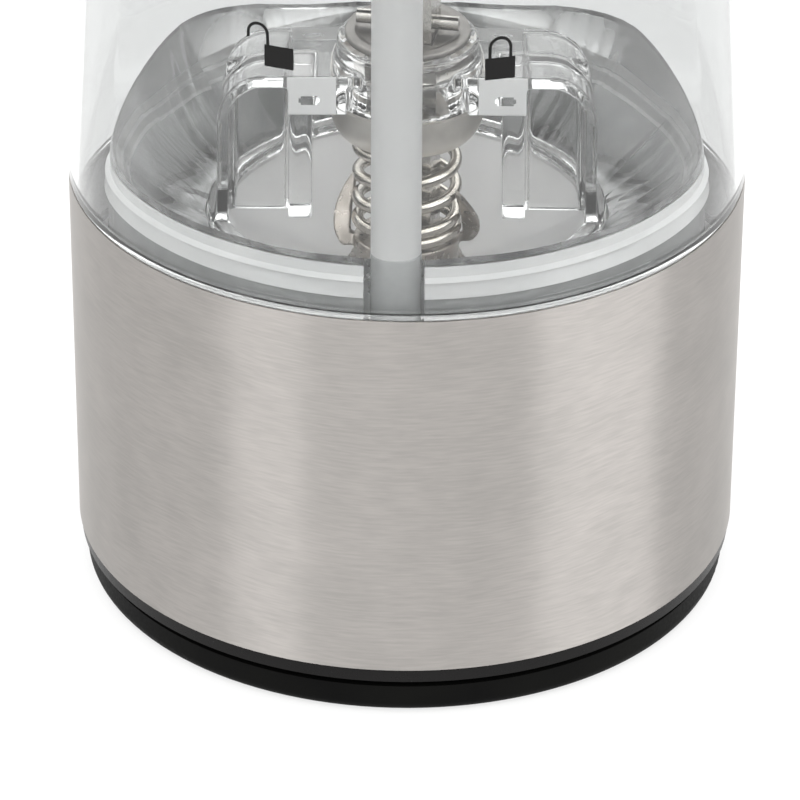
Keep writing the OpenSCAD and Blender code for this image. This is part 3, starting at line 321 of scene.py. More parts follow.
    # Deep-drawn steel cup, tumbled after pressing: pale and satin
    SATIN_STEEL = Finish("tumbled_steel_cup", "#f6f2ec", "#e8e3dc", 0.38, 0.08, 1.0, drift_mm=2.5,
                         grain_mm=0.5, grain_depth_mm=0.003, grain_strength=0.15)
    # Spring wire, drawn and tempered: bright grey, lightly streaked
    SPRING_WIRE = Finish("spring_wire", "#cfcac3", "#b8b2a9", 0.16, 0.08, 1.0, drift_mm=1.5, grain_mm=0.5,
                         grain_depth_mm=0.002, grain_strength=0.06)
    # Zinc-plated motor can: even grey, faint spangle
    MOTOR_CAN = Finish("zinc_plated_can", "#b4b2ae", "#a3a19d", 0.3, 0.1, 1.0, drift_mm=4.0)
    # Nylon end cap: blue-black
    MOTOR_CAP = Finish("nylon_end_cap", "#23303a", "#1b262e", 0.4, 0.1)
    # Shrink sleeve of a plain cell: slate, glossy
    CELL_WRAP = Finish("cell_sleeve", "#4f5d69", "#46535e", 0.22, 0.06, drift_mm=14.0)
    # Glass-epoxy board with solder mask: green, glossy over a fine weave
    BOARD = Finish("solder_mask", "#2f6a40", "#275a36", 0.25, 0.08, grain_mm=0.6, grain_depth_mm=0.01)
    # Epoxy lamp: warm white resin
    LAMP = Finish("lamp_epoxy", "#f7f2dd", "#efe8cd", 0.08, 0.05, clear=0.5)
    # PVC insulation: grey on the lamp's wires, red on the motor's leads, soft shine
    PVC_GREY = Finish("grey_pvc", "#8d8d8c", "#818180", 0.35, 0.1, drift_mm=5.0)
    PVC_RED = Finish("red_pvc", "#a5332a", "#962b23", 0.35, 0.1, drift_mm=5.0)
    # Plated ABS button: satin silver
    PLATED = Brushed("plated_button", "#8d8a86", "#827f7b", 0.32, 0.1, 1.0, drift_mm=7.0,
                     shader={"Anisotropic": 0.4})
    # Screen ink: black, dull
    INK = Finish("screen_ink", "#0c0b0b", "#080808", 0.5, 0.1, shine=0.2, grain_mm=0.2)
    # Matte painted board under the mill, lit as evenly as a sweep of paper
    FLOOR = Finish("white_board", "#6f6f6f", "#6c6c6c", 0.7, 0.1, shine=0.05, drift_mm=60.0, grain_mm=1.0,
                   shader={"Emission Color": linear("#ffffff"), "Emission Strength": 0.7})


# The solids that share each finish
FINISH_GROUPS: tuple[tuple[Finish, str], ...] = (
    (Finishes.BLACK_GLOSS, "base_housing mouth_collar top_cap"),
    (Finishes.BLACK_MATTE, "dust_cap head_chassis grind_knob"),
    (Finishes.DARK_INNER, "battery_holder drive_coupler conduit_plug switch_body"),
    (Finishes.STAINLESS, "steel_sleeve head_sleeve"),
    (Finishes.PLATED, "push_button"),
    (Finishes.ACRYLIC, "clear_chamber"),
    (Finishes.STYRENE, "hopper_ring bearing_bridge"),
    (Finishes.PALE_ABS, "grinder_housing"),
    (Finishes.CERAMIC, "outer_burr inner_burr"),
    (Finishes.MILKY, "conduit_tube"),
    (Finishes.SILICONE, "head_gasket"),
    (Finishes.ACETAL, "gearbox_cover gearbox_case upper_carrier output_carrier"),
    (Finishes.ACETAL, "upper_planet_1 upper_planet_2 upper_planet_3"),
    (Finishes.ACETAL, "lower_planet_1 lower_planet_2 lower_planet_3"),
    (Finishes.BRASS, "motor_pinion conduit_pins contact_rings contact_plates"),
    (Finishes.BRIGHT_STEEL, "drive_shaft shaft_pin shaft_washer base_screws gearbox_screws motor_screws"),
    (Finishes.PRESSED_STEEL, "spring_cup feed_wings"),
    (Finishes.SPRING_WIRE, "grinder_spring battery_springs button_spring"),
    (Finishes.MOTOR_CAN, "motor_can"),
    (Finishes.MOTOR_CAP, "motor_cap"),
    (Finishes.CELL_WRAP, "battery_1 battery_2 battery_3 battery_4 battery_5 battery_6"),
    (Finishes.BOARD, "switch_board"),
    (Finishes.LAMP, "lamp"),
    (Finishes.PVC_GREY, "lamp_wires"),
    (Finishes.PVC_RED, "motor_leads"),
)
NODE_FINISHES: dict[str, Finish] = {node: finish for finish, nodes in FINISH_GROUPS for node in nodes.split()}


def link_object(name: str, data: bpy.types.ID) -> Piece:
    """Make an object of its data and link it to the scene."""
    thing = bpy.data.objects.new(name, data)
    bpy.context.scene.collection.objects.link(thing)
    return thing


def facing(place_mm: Point, aim_mm: Point) -> Matrix:
    """Pose of a camera or a light at a place, facing a target."""
    place = Vector(place_mm) * MM
    look = (Vector(aim_mm) * MM - place).to_track_quat("-Z", "Y")
    return Matrix.Translation(place) @ look.to_matrix().to_4x4()


def make_piece(
    name: str,
    points: Iterable[Point],
    faces: Iterable[tuple[int, ...]],
    finish: Finish,
    sharp_deg: float = 35.0,
) -> Piece:
    """Make a smooth-shaded mesh piece.

    Args:
        name: The piece's name.
        points: Corners in millimetres, in the mill's frame.
        faces: Corner numbers of each face.
        finish: The surface.
        sharp_deg: Edges that turn more than this stay crisp.

    Returns:
        The new object.
    """
    mesh = bpy.data.meshes.new(name)
    mesh.from_pydata([Vector(p) * MM for p in points], [], list(faces))
    mesh.validate()
    mesh.update()
    mesh.shade_smooth()
    mesh.set_sharp_from_angle(angle=math.radians(sharp_deg))
    mesh.materials.append(finish.make())
    return link_object(name, mesh)


def add_finishes(piece: Piece, *finishes: Finish) -> None:
    """Give a piece further finishes, for single faces: the first gets number 1."""
    for finish in finishes:
        piece.data.materials.append(finish.make())


def seat(piece: Piece, body: Body, slot: str, *nodes: str) -> None:
    """Let a piece ride on a body, and stand for solids where it replaces them.

    Args:
        piece: The piece, in place.
        body: What it rides on.
        slot: A material slot's name; not used.
        nodes: Solids that it stands for.
    """
    if nodes:
        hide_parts(*nodes)
    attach(piece, body.value)
    log.info("%s rides on %s", piece.name, body.value)


def soften(corners: Profile, radius: float, steps: int = 4) -> Profile:
    """Round the corners of a closed outline.

    Args:
        corners: The outline's corners.
        radius: How far along each side the round starts, at most.
        steps: Stretches in each round.

    Returns:
        The rounded outline.
    """
    outline: Profile = []
    count = len(corners)
    for i, corner in enumerate(corners):
        here = Vector(corner)
        ends = []
        for other in (corners[i - 1], corners[(i + 1) % count]):
            side = Vector(other) - here
            ends.append(here + side.normalized() * min(radius, side.length * ROUND_SHARE))
        for step in range(steps + 1):
            t = step / steps
            spot = ends[0].lerp(here, t).lerp(here.lerp(ends[1], t), t)
            outline.append((spot.x, spot.y))
    return outline


def revolve(outline_at: Callable[[float], Profile], segments: int) -> Form:
    """Turn a closed outline round the Z axis.

    Args:
        outline_at: Gives the outline at an angle: radius and height of each corner, anticlockwise seen
            with the axis on the left, with as many corners at every angle.
        segments: Steps round the axis.

    Returns:
        Points and faces.
    """
    points: list[Point] = []
    count = 0
    for i in range(segments):
        angle = math.tau * i / segments
        outline = outline_at(angle)
        count = len(outline)
        points += [(r * math.cos(angle), r * math.sin(angle), z) for r, z in outline]
    faces: list[tuple[int, ...]] = []
    for i in range(segments):
        here, ahead = i * count, (i + 1) % segments * count
        for k in range(count):
            after = (k + 1) % count
            faces.append((here + k, ahead + k, ahead + after, here + after))
    return points, faces


def square_edge(half_side: float, turn_deg: float, angle: float) -> float:
    """Radius of a square hole's edge in one direction.

    Args:
        half_side: Half the square's side.
        turn_deg: Turn of the square.
        angle: The direction, in radians.

    Returns:
        The radius.
    """
    bearing = angle - math.radians(turn_deg)
    return half_side / max(abs(math.cos(bearing)), abs(math.sin(bearing)))


def loft(sections: list[list[Point]]) -> Form:
    """Skin a row of closed sections and cap both ends.

    Args:
        sections: Rings of points, with as many points in each.

    Returns:
        Points and faces.
    """
    sides = len(sections[0])
    points = [point for section in sections for point in section]
    faces: list[tuple[int, ...]] = []
    for i in range(len(sections) - 1):
        for k in range(sides):
            a, b = i * sides + k, i * sides + (k + 1) % sides
            faces.append((a, a + sides, b + sides, b))
    last = (len(sections) - 1) * sides
    faces.append(tuple(range(sides)))
    faces.append(tuple(last + k for k in reversed(range(sides))))
    return points, faces


def sweep_round(path: list[Vector], radius: float, sides: int) -> Form:
    """Draw a round wire along a path.

    Args:
        path: Points on the wire's axis.
        radius: Radius of the wire.
        sides: Faces round it.

    Returns:
        Points and faces, with a flat disc at each end.
    """
    sections: list[list[Point]] = []
    normal = Vector((0, 0, 1))
    last = len(path) - 1
    for i, centre in enumerate(path):
        run = (path[min(i + 1, last)] - path[max(i - 1, 0)]).normalized()
        normal = (normal - run * normal.dot(run)).normalized()
        side = run.cross(normal)
        turns = [math.tau * k / sides for k in range(sides)]
        sections.append([tuple(centre + (normal * math.cos(a) + side * math.sin(a)) * radius) for a in turns])
    return loft(sections)


def box(low: Point, high: Point) -> Form:
    """A block between two corners.

    Args:
        low: The lowest corner.
        high: The highest corner.

    Returns:
        Points and faces.
    """
    square = [(low[0], low[1]), (high[0], low[1]), (high[0], high[1]), (low[0], high[1])]
    return loft([[(x, y, z) for x, y in square] for z in (low[2], high[2])])


def join(forms: Iterable[Form]) -> Form:
    """Put several forms in one list of points and faces."""
    points: list[Point] = []
    faces: list[tuple[int, ...]] = []
    for more, sides in forms:
        first = len(points)
        points += more
        faces += [tuple(first + k for k in face) for face in sides]
    return points, faces


def melt(name: str, forms: Iterable[Form], voxel_mm: float, rounds: int, finish: Finish) -> Piece:
    """Melt closed forms into one moulded skin with rounded edges.

    Args:
        name: The piece's name.
        forms: The closed forms, which overlap where they join.
        voxel_mm: Fineness of the skin.
        rounds: Smoothing passes, which round the edges.
        finish: The surface.

    Returns:
        The new piece.
    """
    draft = make_piece(f"{name}_draft", *join(forms), finish)
    skin = draft.modifiers.new("skin", "REMESH")
    skin.mode = "VOXEL"
    skin.voxel_size = voxel_mm * MM
    ease = draft.modifiers.new("ease", "SMOOTH")
    ease.factor = 0.5
    ease.iterations = rounds
    bpy.context.view_layer.update()
    mesh = bpy.data.meshes.new_from_object(draft.evaluated_get(bpy.context.evaluated_depsgraph_get()))
    bpy.data.objects.remove(draft)
    mesh.name = name
    mesh.shade_smooth()
    mesh.materials.clear()
    mesh.materials.append(finish.make())
    return link_object(name, mesh)


@dataclass
class Coil:
    """A compression spring of round wire with a closed turn at its foot."""

    name: str
    outside_d: float
    wire_d: float
    low_z: float
    high_z: float
    turns: float
    closed_turns: float = 1.0
    closed_pitch: float = 1.15
    steps_per_turn: int = 40
    sides: int = 16

    def height(self, turn: float) -> float:
        """Height of the wire's axis after so many turns."""
        room = self.high_z - self.low_z - self.wire_d
        step = self.closed_pitch * self.wire_d
        low = step * self.closed_turns
        open_turns = self.turns - self.closed_turns
        if turn <= self.closed_turns:
            rise = step * turn
        else:
            rise = low + (room - low) * (turn - self.closed_turns) / open_turns
        return self.low_z + self.wire_d / 2 + rise

    def path(self, centre: tuple[float, float], start_deg: float) -> list[Vector]:
        """Points along the wire.

        Args:
            centre: Where the spring's axis stands.
            start_deg: Direction of the wire's lower end.

        Returns:
            The wire's axis.
        """
        radius = (self.outside_d - self.wire_d) / 2
        count = round(self.turns * self.steps_per_turn)
        spots = []
        for i in range(count + 1):
            turn = self.turns * i / count
            angle = math.radians(start_deg) + math.tau * turn
            spots.append(Vector((
                centre[0] + radius * math.cos(angle), centre[1] + radius * math.sin(angle), self.height(turn),
            )))
        return spots

    def build(self, centres: Profile, finish: Finish, start_deg: float = 0.0) -> Piece:
        """Make the spring, or several alike in one piece.

        Args:
            centres: Where each spring's axis stands.
            finish: The wire's surface.
            start_deg: Direction of the wire's lower end.

        Returns:
            The new piece.
        """
        wires = [sweep_round(self.path(centre, start_deg), self.wire_d / 2, self.sides) for centre in centres]
        return make_piece(self.name, *join(wires), finish)


@dataclass
class Chamber:
    """The clear chamber and the signs printed on it."""

    body_r: float = 30.0
    bore_r: float = 27.4
    seat_in_r: float = 27.5
    seat_r: float = 28.9
    seat_gap: float = 0.06
    rebate_r: float = 28.2
    seat_z: float = 33.1
    seam_z: float = 39.5
    mouth_z: float = 101.5
    rebate_h: float = 3.0
    edge_round: float = 0.35
    segments: int = 256
    ink_t: float = 0.05
    lock_w: float = 2.53
    lock_h: float = 1.92
    shackle_r: float = 0.87
    shackle_leg: float = 0.9
    shackle_inset: float = 0.29
    shackle_lap: float = 0.1
    stroke: float = 0.25
    block_steps: int = 8
    bow_steps: int = 16
    leg_steps: int = 3
    open_deg: float = -20.4
    closed_deg: float = 14.5
    open_z: float = 62.1
    closed_z: float = 61.7

    def outline(self, angle: float) -> Profile:
        """Half section of the wall, the same at every angle."""
        rebate_z = self.mouth_z - self.rebate_h
        return soften([
            (self.bore_r, self.seam_z), (self.body_r, self.seam_z), (self.body_r, self.mouth_z),
            (self.rebate_r, self.mouth_z), (self.rebate_r, rebate_z), (self.bore_r, rebate_z),
        ], self.edge_round)

    def seat_outline(self, angle: float) -> Profile:
        """Half section of the ring under the wall that holds it in the base."""
        top_z = self.seam_z - self.seat_gap
        return soften([
            (self.seat_in_r, self.seat_z), (self.seat_r, self.seat_z), (self.seat_r, top_z),
            (self.seat_in_r, top_z),
        ], self.edge_round)

    def stripe(self, path: Profile, half_w: float, turn_deg: float) -> Form:
        """Lay a stripe of ink on the wall.

        Args:
            path: Points along the stripe: distance round the wall and height.
            half_w: Half its width.
            turn_deg: Direction that the distances count from, from the front to the right.

        Returns:
            Points and faces.
        """
        sections = []
        last = len(path) - 1
        for i, spot in enumerate(path):
            run = (Vector(path[min(i + 1, last)]) - Vector(path[max(i - 1, 0)])).normalized()
            side = Vector((-run.y, run.x)) * half_w
            ring = []
            for reach, radius in ((1, 0.0), (-1, 0.0), (-1, self.ink_t), (1, self.ink_t)):
                s, z = Vector(spot) + side * reach
                bearing = math.radians(turn_deg) + s / self.body_r
                r = self.body_r + radius
                ring.append((r * math.sin(bearing), -r * math.cos(bearing), z))
            sections.append(ring)
        return loft(sections)

    def padlock(self, name: str, turn_deg: float, foot_z: float, shut: bool) -> None:
        """Print one padlock sign.

        Args:
            name: The piece's name.
            turn_deg: Its direction, from the front to the right.
            foot_z: Height of its lower edge.
            shut: Whether the shackle is closed.
        """
        half = self.lock_w / 2
        middle_z = foot_z + self.lock_h / 2
        block = [(half * (2 * k / self.block_steps - 1), middle_z) for k in range(self.block_steps + 1)]
        top_z = foot_z + self.lock_h
        bow_z = top_z + self.shackle_leg
        shift = 0.0 if shut else self.shackle_inset - half - self.shackle_r
        low_z = top_z - self.shackle_lap
        rises = [k / self.leg_steps for k in range(self.leg_steps)]
        right = [(shift + self.shackle_r, low_z + (bow_z - low_z) * rise) for rise in rises]
        turns = [math.pi * k / self.bow_steps for k in range(self.bow_steps + 1)]
        bow = [(shift + self.shackle_r * math.cos(a), bow_z + self.shackle_r * math.sin(a)) for a in turns]
        end_z = low_z if shut else bow_z - self.shackle_leg / 2
        left = [(shift - self.shackle_r, end_z + (bow_z - end_z) * rise) for rise in reversed(rises)]
        forms = [
            self.stripe(block, self.lock_h / 2, turn_deg),
            self.stripe(right + bow + left, self.stroke / 2, turn_deg),
        ]
        seat(make_piece(name, *join(forms), Finishes.INK), Body.BASE, "black_abs")

    def build(self) -> None:
        """Make the wall as one round, polished tube, and print its signs."""
        wall = make_piece("chamber_wall", *revolve(self.outline, self.segments), Finishes.ACRYLIC)
        seat(wall, Body.BASE, "clear_acrylic", "clear_chamber")
        foot = make_piece("chamber_seat", *revolve(self.seat_outline, self.segments), Finishes.ACRYLIC)
        seat(foot, Body.BASE, "clear_acrylic")
        self.padlock("open_padlock_sign", self.open_deg, self.open_z, False)
        self.padlock("closed_padlock_sign", self.closed_deg, self.closed_z, True)


@dataclass
class HopperRing:
    """The clear ring that leads the pepper in: a scalloped dish on a skirt, and the tube's socket."""

    inner_r: float = 17.3
    outer_r: float = 25.6
    inner_z: float = 37.5
    top_z: float = 43.7
    foot_z: float = 32.85
    thickness: float = 2.0
    skirt_t: float = 1.5
    bevel: float = 0.5
    body_power: float = 0.6
    ledge_tops: tuple[float, ...] = (41.95, 41.1)
    ledge_foots: tuple[float, ...] = (41.55, 40.05)
    ledge_depth: float = 0.35
    undercut: float = 0.15
    # Top and foot of the skirt's white band, painted light that stands for light carried through the ring
    light_band_top_z: float = 42.95
    light_band_foot_z: float = 39.8
    under_tilt: float = 0.1
    crisp_deg: float = 30.0
    swell_h: float = 3.6
    swell_deg: float = 55.0
    swell_half_deg: float = 27.0
    least_band: float = 0.05
    scoops: int = 16
    scoop_depth: float = 2.0
    scoop_mean: float = 0.85
    scoop_spread: float = 0.2
    scoop_lean: float = 0.25
    scoop_bite: float = 0.45
    bowl_start: float = 0.08
    bowl_run: float = 0.9
    bowl_power: float = 1.5
    flutes_per_scoop: int = 5
    flute_depth: float = 0.24
    rib_t: float = 1.2
    rib_r: float = 18.5
    across: int = 20
    steps_per_scoop: int = 40
    notch_half: float = 2.4
    notch_depth: float = 1.0
    socket_bore_r: float = 0.9
    socket_r: float = 2.1
    socket_round: float = 0.25
    socket_segments: int = 48
    socket_reach: float = 24.35
    socket_turn_deg: float = -92.0
    socket_low_z: float = 33.2
    socket_top_z: float = 44.1

    def dip(self, angle: float, share: float) -> float:
        """Depth of the scallops: round in each scoop, sharp on the ridges between.

        Args:
            angle: Direction from the axis, in radians.
            share: Way from the inner to the outer edge, 0 to 1.

        Returns:
            The depth, with each scoop a little different.
        """
        turn = angle % math.tau
        index = round(self.scoops * turn / math.tau) % self.scoops
        # Sines of odd steps of the scoop's number make the scoops differ without random draws
        uneven = self.scoop_mean + self.scoop_spread * math.sin(3.7 * index)
        lean = self.scoop_lean * math.sin(2.1 * index) * math.sin(math.pi * share)
        round_way = abs(math.cos(self.scoops * turn / 2 + lean))
        along = math.sin(math.pi * (self.bowl_start + self.bowl_run * share ** self.bowl_power))
        wave = abs(math.cos(self.flutes_per_scoop * self.scoops * turn / 2))
        flute = self.flute_depth * wave * (1 + math.sin(3.7 * index + 1))
        return (self.scoop_depth * uneven * round_way + flute) * along

    def swell(self, angle: float) -> float:
        """How far the rim rises; it swells on both sides of the back."""
        off_back = abs((angle + math.pi / 2) % math.tau - math.pi)
        off_crest = (math.degrees(off_back) - self.swell_deg) / self.swell_half_deg
        return self.swell_h * math.exp(-(off_crest ** 2))

    def outline(self, angle: float) -> Profile:
        """Section of the ring at an angle.

        Args:
            angle: Direction from the axis, in radians.

        Returns:
            The closed outline.
        """
        spacing = math.tau / self.scoops
        off_rib = abs((angle % spacing) - spacing / 2)
        on_rib = off_rib * (self.rib_r + self.outer_r) / 2 < self.rib_t / 2
        skirt_r = self.outer_r - (self.notch_depth if self.in_notch(angle) else 0.0)
        bite = self.scoop_bite * self.dip(angle, 0.0) / self.scoop_depth
        edge_r = self.outer_r - self.bevel
        start_r = self.inner_r + bite
        top: Profile = []
        under: Profile = []
        for i in range(self.across + 1):
            share = i / self.across
            z = self.inner_z + (self.top_z + self.swell(angle) - self.inner_z) * share
            top.append((start_r + (edge_r - start_r) * share, z - self.dip(angle, share)))
            low_r = start_r + (self.outer_r - self.skirt_t - start_r) * share
            drop = self.thickness + (z - self.thickness - self.foot_z) * share ** self.body_power
            under.append((low_r, self.foot_z if on_rib and low_r > self.rib_r else z - drop))
        inset_r = skirt_r - self.ledge_depth
        edge_z = top[-1][1] - self.bevel
        skirt = [(inset_r, edge_z), (inset_r, min(self.light_band_top_z, edge_z - self.least_band))]
        for high_z, low_z in zip(self.ledge_tops, self.ledge_foots):
            skirt += [(inset_r, high_z), (skirt_r, low_z), (inset_r, low_z - self.undercut)]
        skirt.append((inset_r, self.foot_z))
        return list(reversed(top + skirt + list(reversed(under))))

    def in_notch(self, angle: float) -> bool:
        """Whether a direction lies in the notch that the socket stands in."""
        off = (angle - math.radians(self.socket_turn_deg) + math.pi) % math.tau - math.pi
        return abs(off) * self.outer_r < self.notch_half

    def build(self) -> None:
        """Make the ring and the socket that the milky tube stands in."""
        ring = make_piece("hopper_ring_dish", *revolve(self.outline, self.scoops * self.steps_per_scoop),
                          Finishes.RING_STYRENE, self.crisp_deg)
        self.finish_faces(ring)
        seat(ring, Body.BASE, "clear_styrene", "hopper_ring")
        turn = math.radians(self.socket_turn_deg)
        spot = Vector((self.socket_reach * math.cos(turn), self.socket_reach * math.sin(turn), 0))
        neck = [
            (self.socket_bore_r, self.socket_low_z), (self.socket_r, self.socket_low_z),
            (self.socket_r, self.socket_top_z), (self.socket_bore_r, self.socket_top_z),
        ]
        points, faces = revolve(lambda angle: soften(neck, self.socket_round), self.socket_segments)
        socket = make_piece("tube_socket", [tuple(Vector(p) + spot) for p in points], faces,
                            Finishes.SOCKET_STYRENE)
        seat(socket, Body.BASE, "clear_styrene")

    def finish_faces(self, ring: Piece) -> None:
        """Give the skirt its white band of painted light and its cloudy foot, and the underside its dull
        skin.
        """
        add_finishes(ring, Finishes.PAINTED_LIGHT_BAND, Finishes.SOCKET_STYRENE, Finishes.ERODED_STYRENE)
        skirt_in_r = self.outer_r - 1.5 * self.ledge_depth
        for face in ring.data.polygons:
            x, y, z = face.center / MM
            on_skirt = math.hypot(x, y) > skirt_in_r and z < self.light_band_top_z
            if on_skirt and not self.in_notch(math.atan2(y, x)):
                # Skirt faces above the band's foot take the white finish of painted light
                face.material_index = 1 if z > self.light_band_foot_z else 2
            elif face.normal.z < self.under_tilt:
                face.material_index = 3


@dataclass
class Bridge:
    """The clear bridge over the funnel, whose hub carries the shaft."""

    half_l: float = 16.2
    half_w: float = 4.8
    foot_z: float = 37.1
    beam_z: float = 47.6
    top_z: float = 51.0
    leg_t: float = 1.0
    shoulder_r: float = 4.0
    rib_x: float = 8.2
    rib_t: float = 2.0
    rib_half_w: float = 2.5
    web_half_t: float = 0.5
    hub_r: float = 6.2
    hub_z: float = 47.0
    hub_top_z: float = 52.5
    bore_r: float = 3.6
    foot_r: float = 17.2
    foot_in_r: float = 15.85
    slot_x: float = 8.4
    slot_z: float = 48.9
    slot_half_l: float = 1.0
    slot_half_h: float = 0.45
    beam_start: float = 1.5
    face_tilt: float = 0.8
    face_lap: float = 0.4
    hub_lap: float = 0.2
    arc_steps: int = 16
    ring_segments: int = 72
    voxel_mm: float = 0.2
    smooth_rounds: int = 4

    def edge(self, inset: float) -> Profile:
        """The bridge's outline in front view, from the left foot to the right one.

        Args:
            inset: How far inside the outer outline.

        Returns:
            Points: across and up.
        """
        radius = self.shoulder_r - inset
        x, z = self.half_l - self.shoulder_r, self.top_z - self.shoulder_r
        turns = [math.pi * (1 - k / self.arc_steps) for k in range(self.arc_steps + 1)]
        arc = [(radius * math.cos(a), radius * math.sin(a)) for a in turns]
        crown = self.arc_steps // 2
        left = [(across - x, up + z) for across, up in arc[: crown + 1]]
        right = [(across + x, up + z) for across, up in arc[crown:]]
        return [(inset - self.half_l, self.foot_z), *left, *right, (self.half_l - inset, self.foot_z)]

    def arch(self) -> Form:
        """The thin arch that runs round both legs and the top."""
        sections = []
        for (outer_x, outer_z), (inner_x, inner_z) in zip(self.edge(0.0), self.edge(self.leg_t)):
            sections.append([
                (outer_x, -self.half_w, outer_z), (inner_x, -self.half_w, inner_z),
                (inner_x, self.half_w, inner_z), (outer_x, self.half_w, outer_z),
            ])
        return loft(sections)

    def ring(self, inner_r: float, outer_r: float, low_z: float, high_z: float) -> Form:
        """A plain ring round the axis."""
        outline = [(inner_r, low_z), (outer_r, low_z), (outer_r, high_z), (inner_r, high_z)]
        return revolve(lambda angle: outline, self.ring_segments)

    def forms(self) -> list[Form]:
        """The bridge's members, which overlap where they join."""
        rib_out = self.rib_x + self.rib_t
        skin = self.leg_t / 2
        members = [
            self.arch(),
            self.ring(self.foot_in_r, self.foot_r, self.foot_z, self.foot_z + self.leg_t),
            self.ring(self.bore_r, self.hub_r, self.hub_z, self.hub_top_z),
        ]
        # Rib, web and beam: where each starts and ends, half its width, and its foot
        blocks = (
            (self.rib_x, rib_out, self.rib_half_w, self.foot_z),
            (self.rib_x, self.half_l - skin, self.web_half_t, self.foot_z),
            (self.bore_r + self.beam_start, rib_out, self.half_w, self.beam_z),
        )
        for side in (-1, 1):
            for start, end, half_w, low_z in blocks:
                near, far = sorted((side * start, side * end))
                members.append(box((near, -half_w, low_z), (far, half_w, self.top_z - skin)))
        return members

    def build(self) -> None:
        """Make the bridge as one moulding, with etched faces and clear oval windows on its beam."""
        piece = melt("bearing_bridge_moulding", self.forms(), self.voxel_mm, self.smooth_rounds,
                     Finishes.STYRENE)
        add_finishes(piece, Finishes.FROST)
        hub_x = self.hub_r - self.hub_lap
        end_x = self.rib_x + self.rib_t
        for face in piece.data.polygons:
            x, y, z = face.center / MM
            on_face = abs(face.normal.y) > self.face_tilt and abs(y) > self.half_w - self.face_lap
            on_beam = hub_x < abs(x) < end_x and self.beam_z < z < self.top_z
            across = (abs(x) - self.slot_x) / self.slot_half_l
            up = (z - self.slot_z) / self.slot_half_h
            if on_face and on_beam and math.hypot(across, up) > 1:
                face.material_index = 1
        seat(piece, Body.BASE, "clear_styrene", "bearing_bridge")


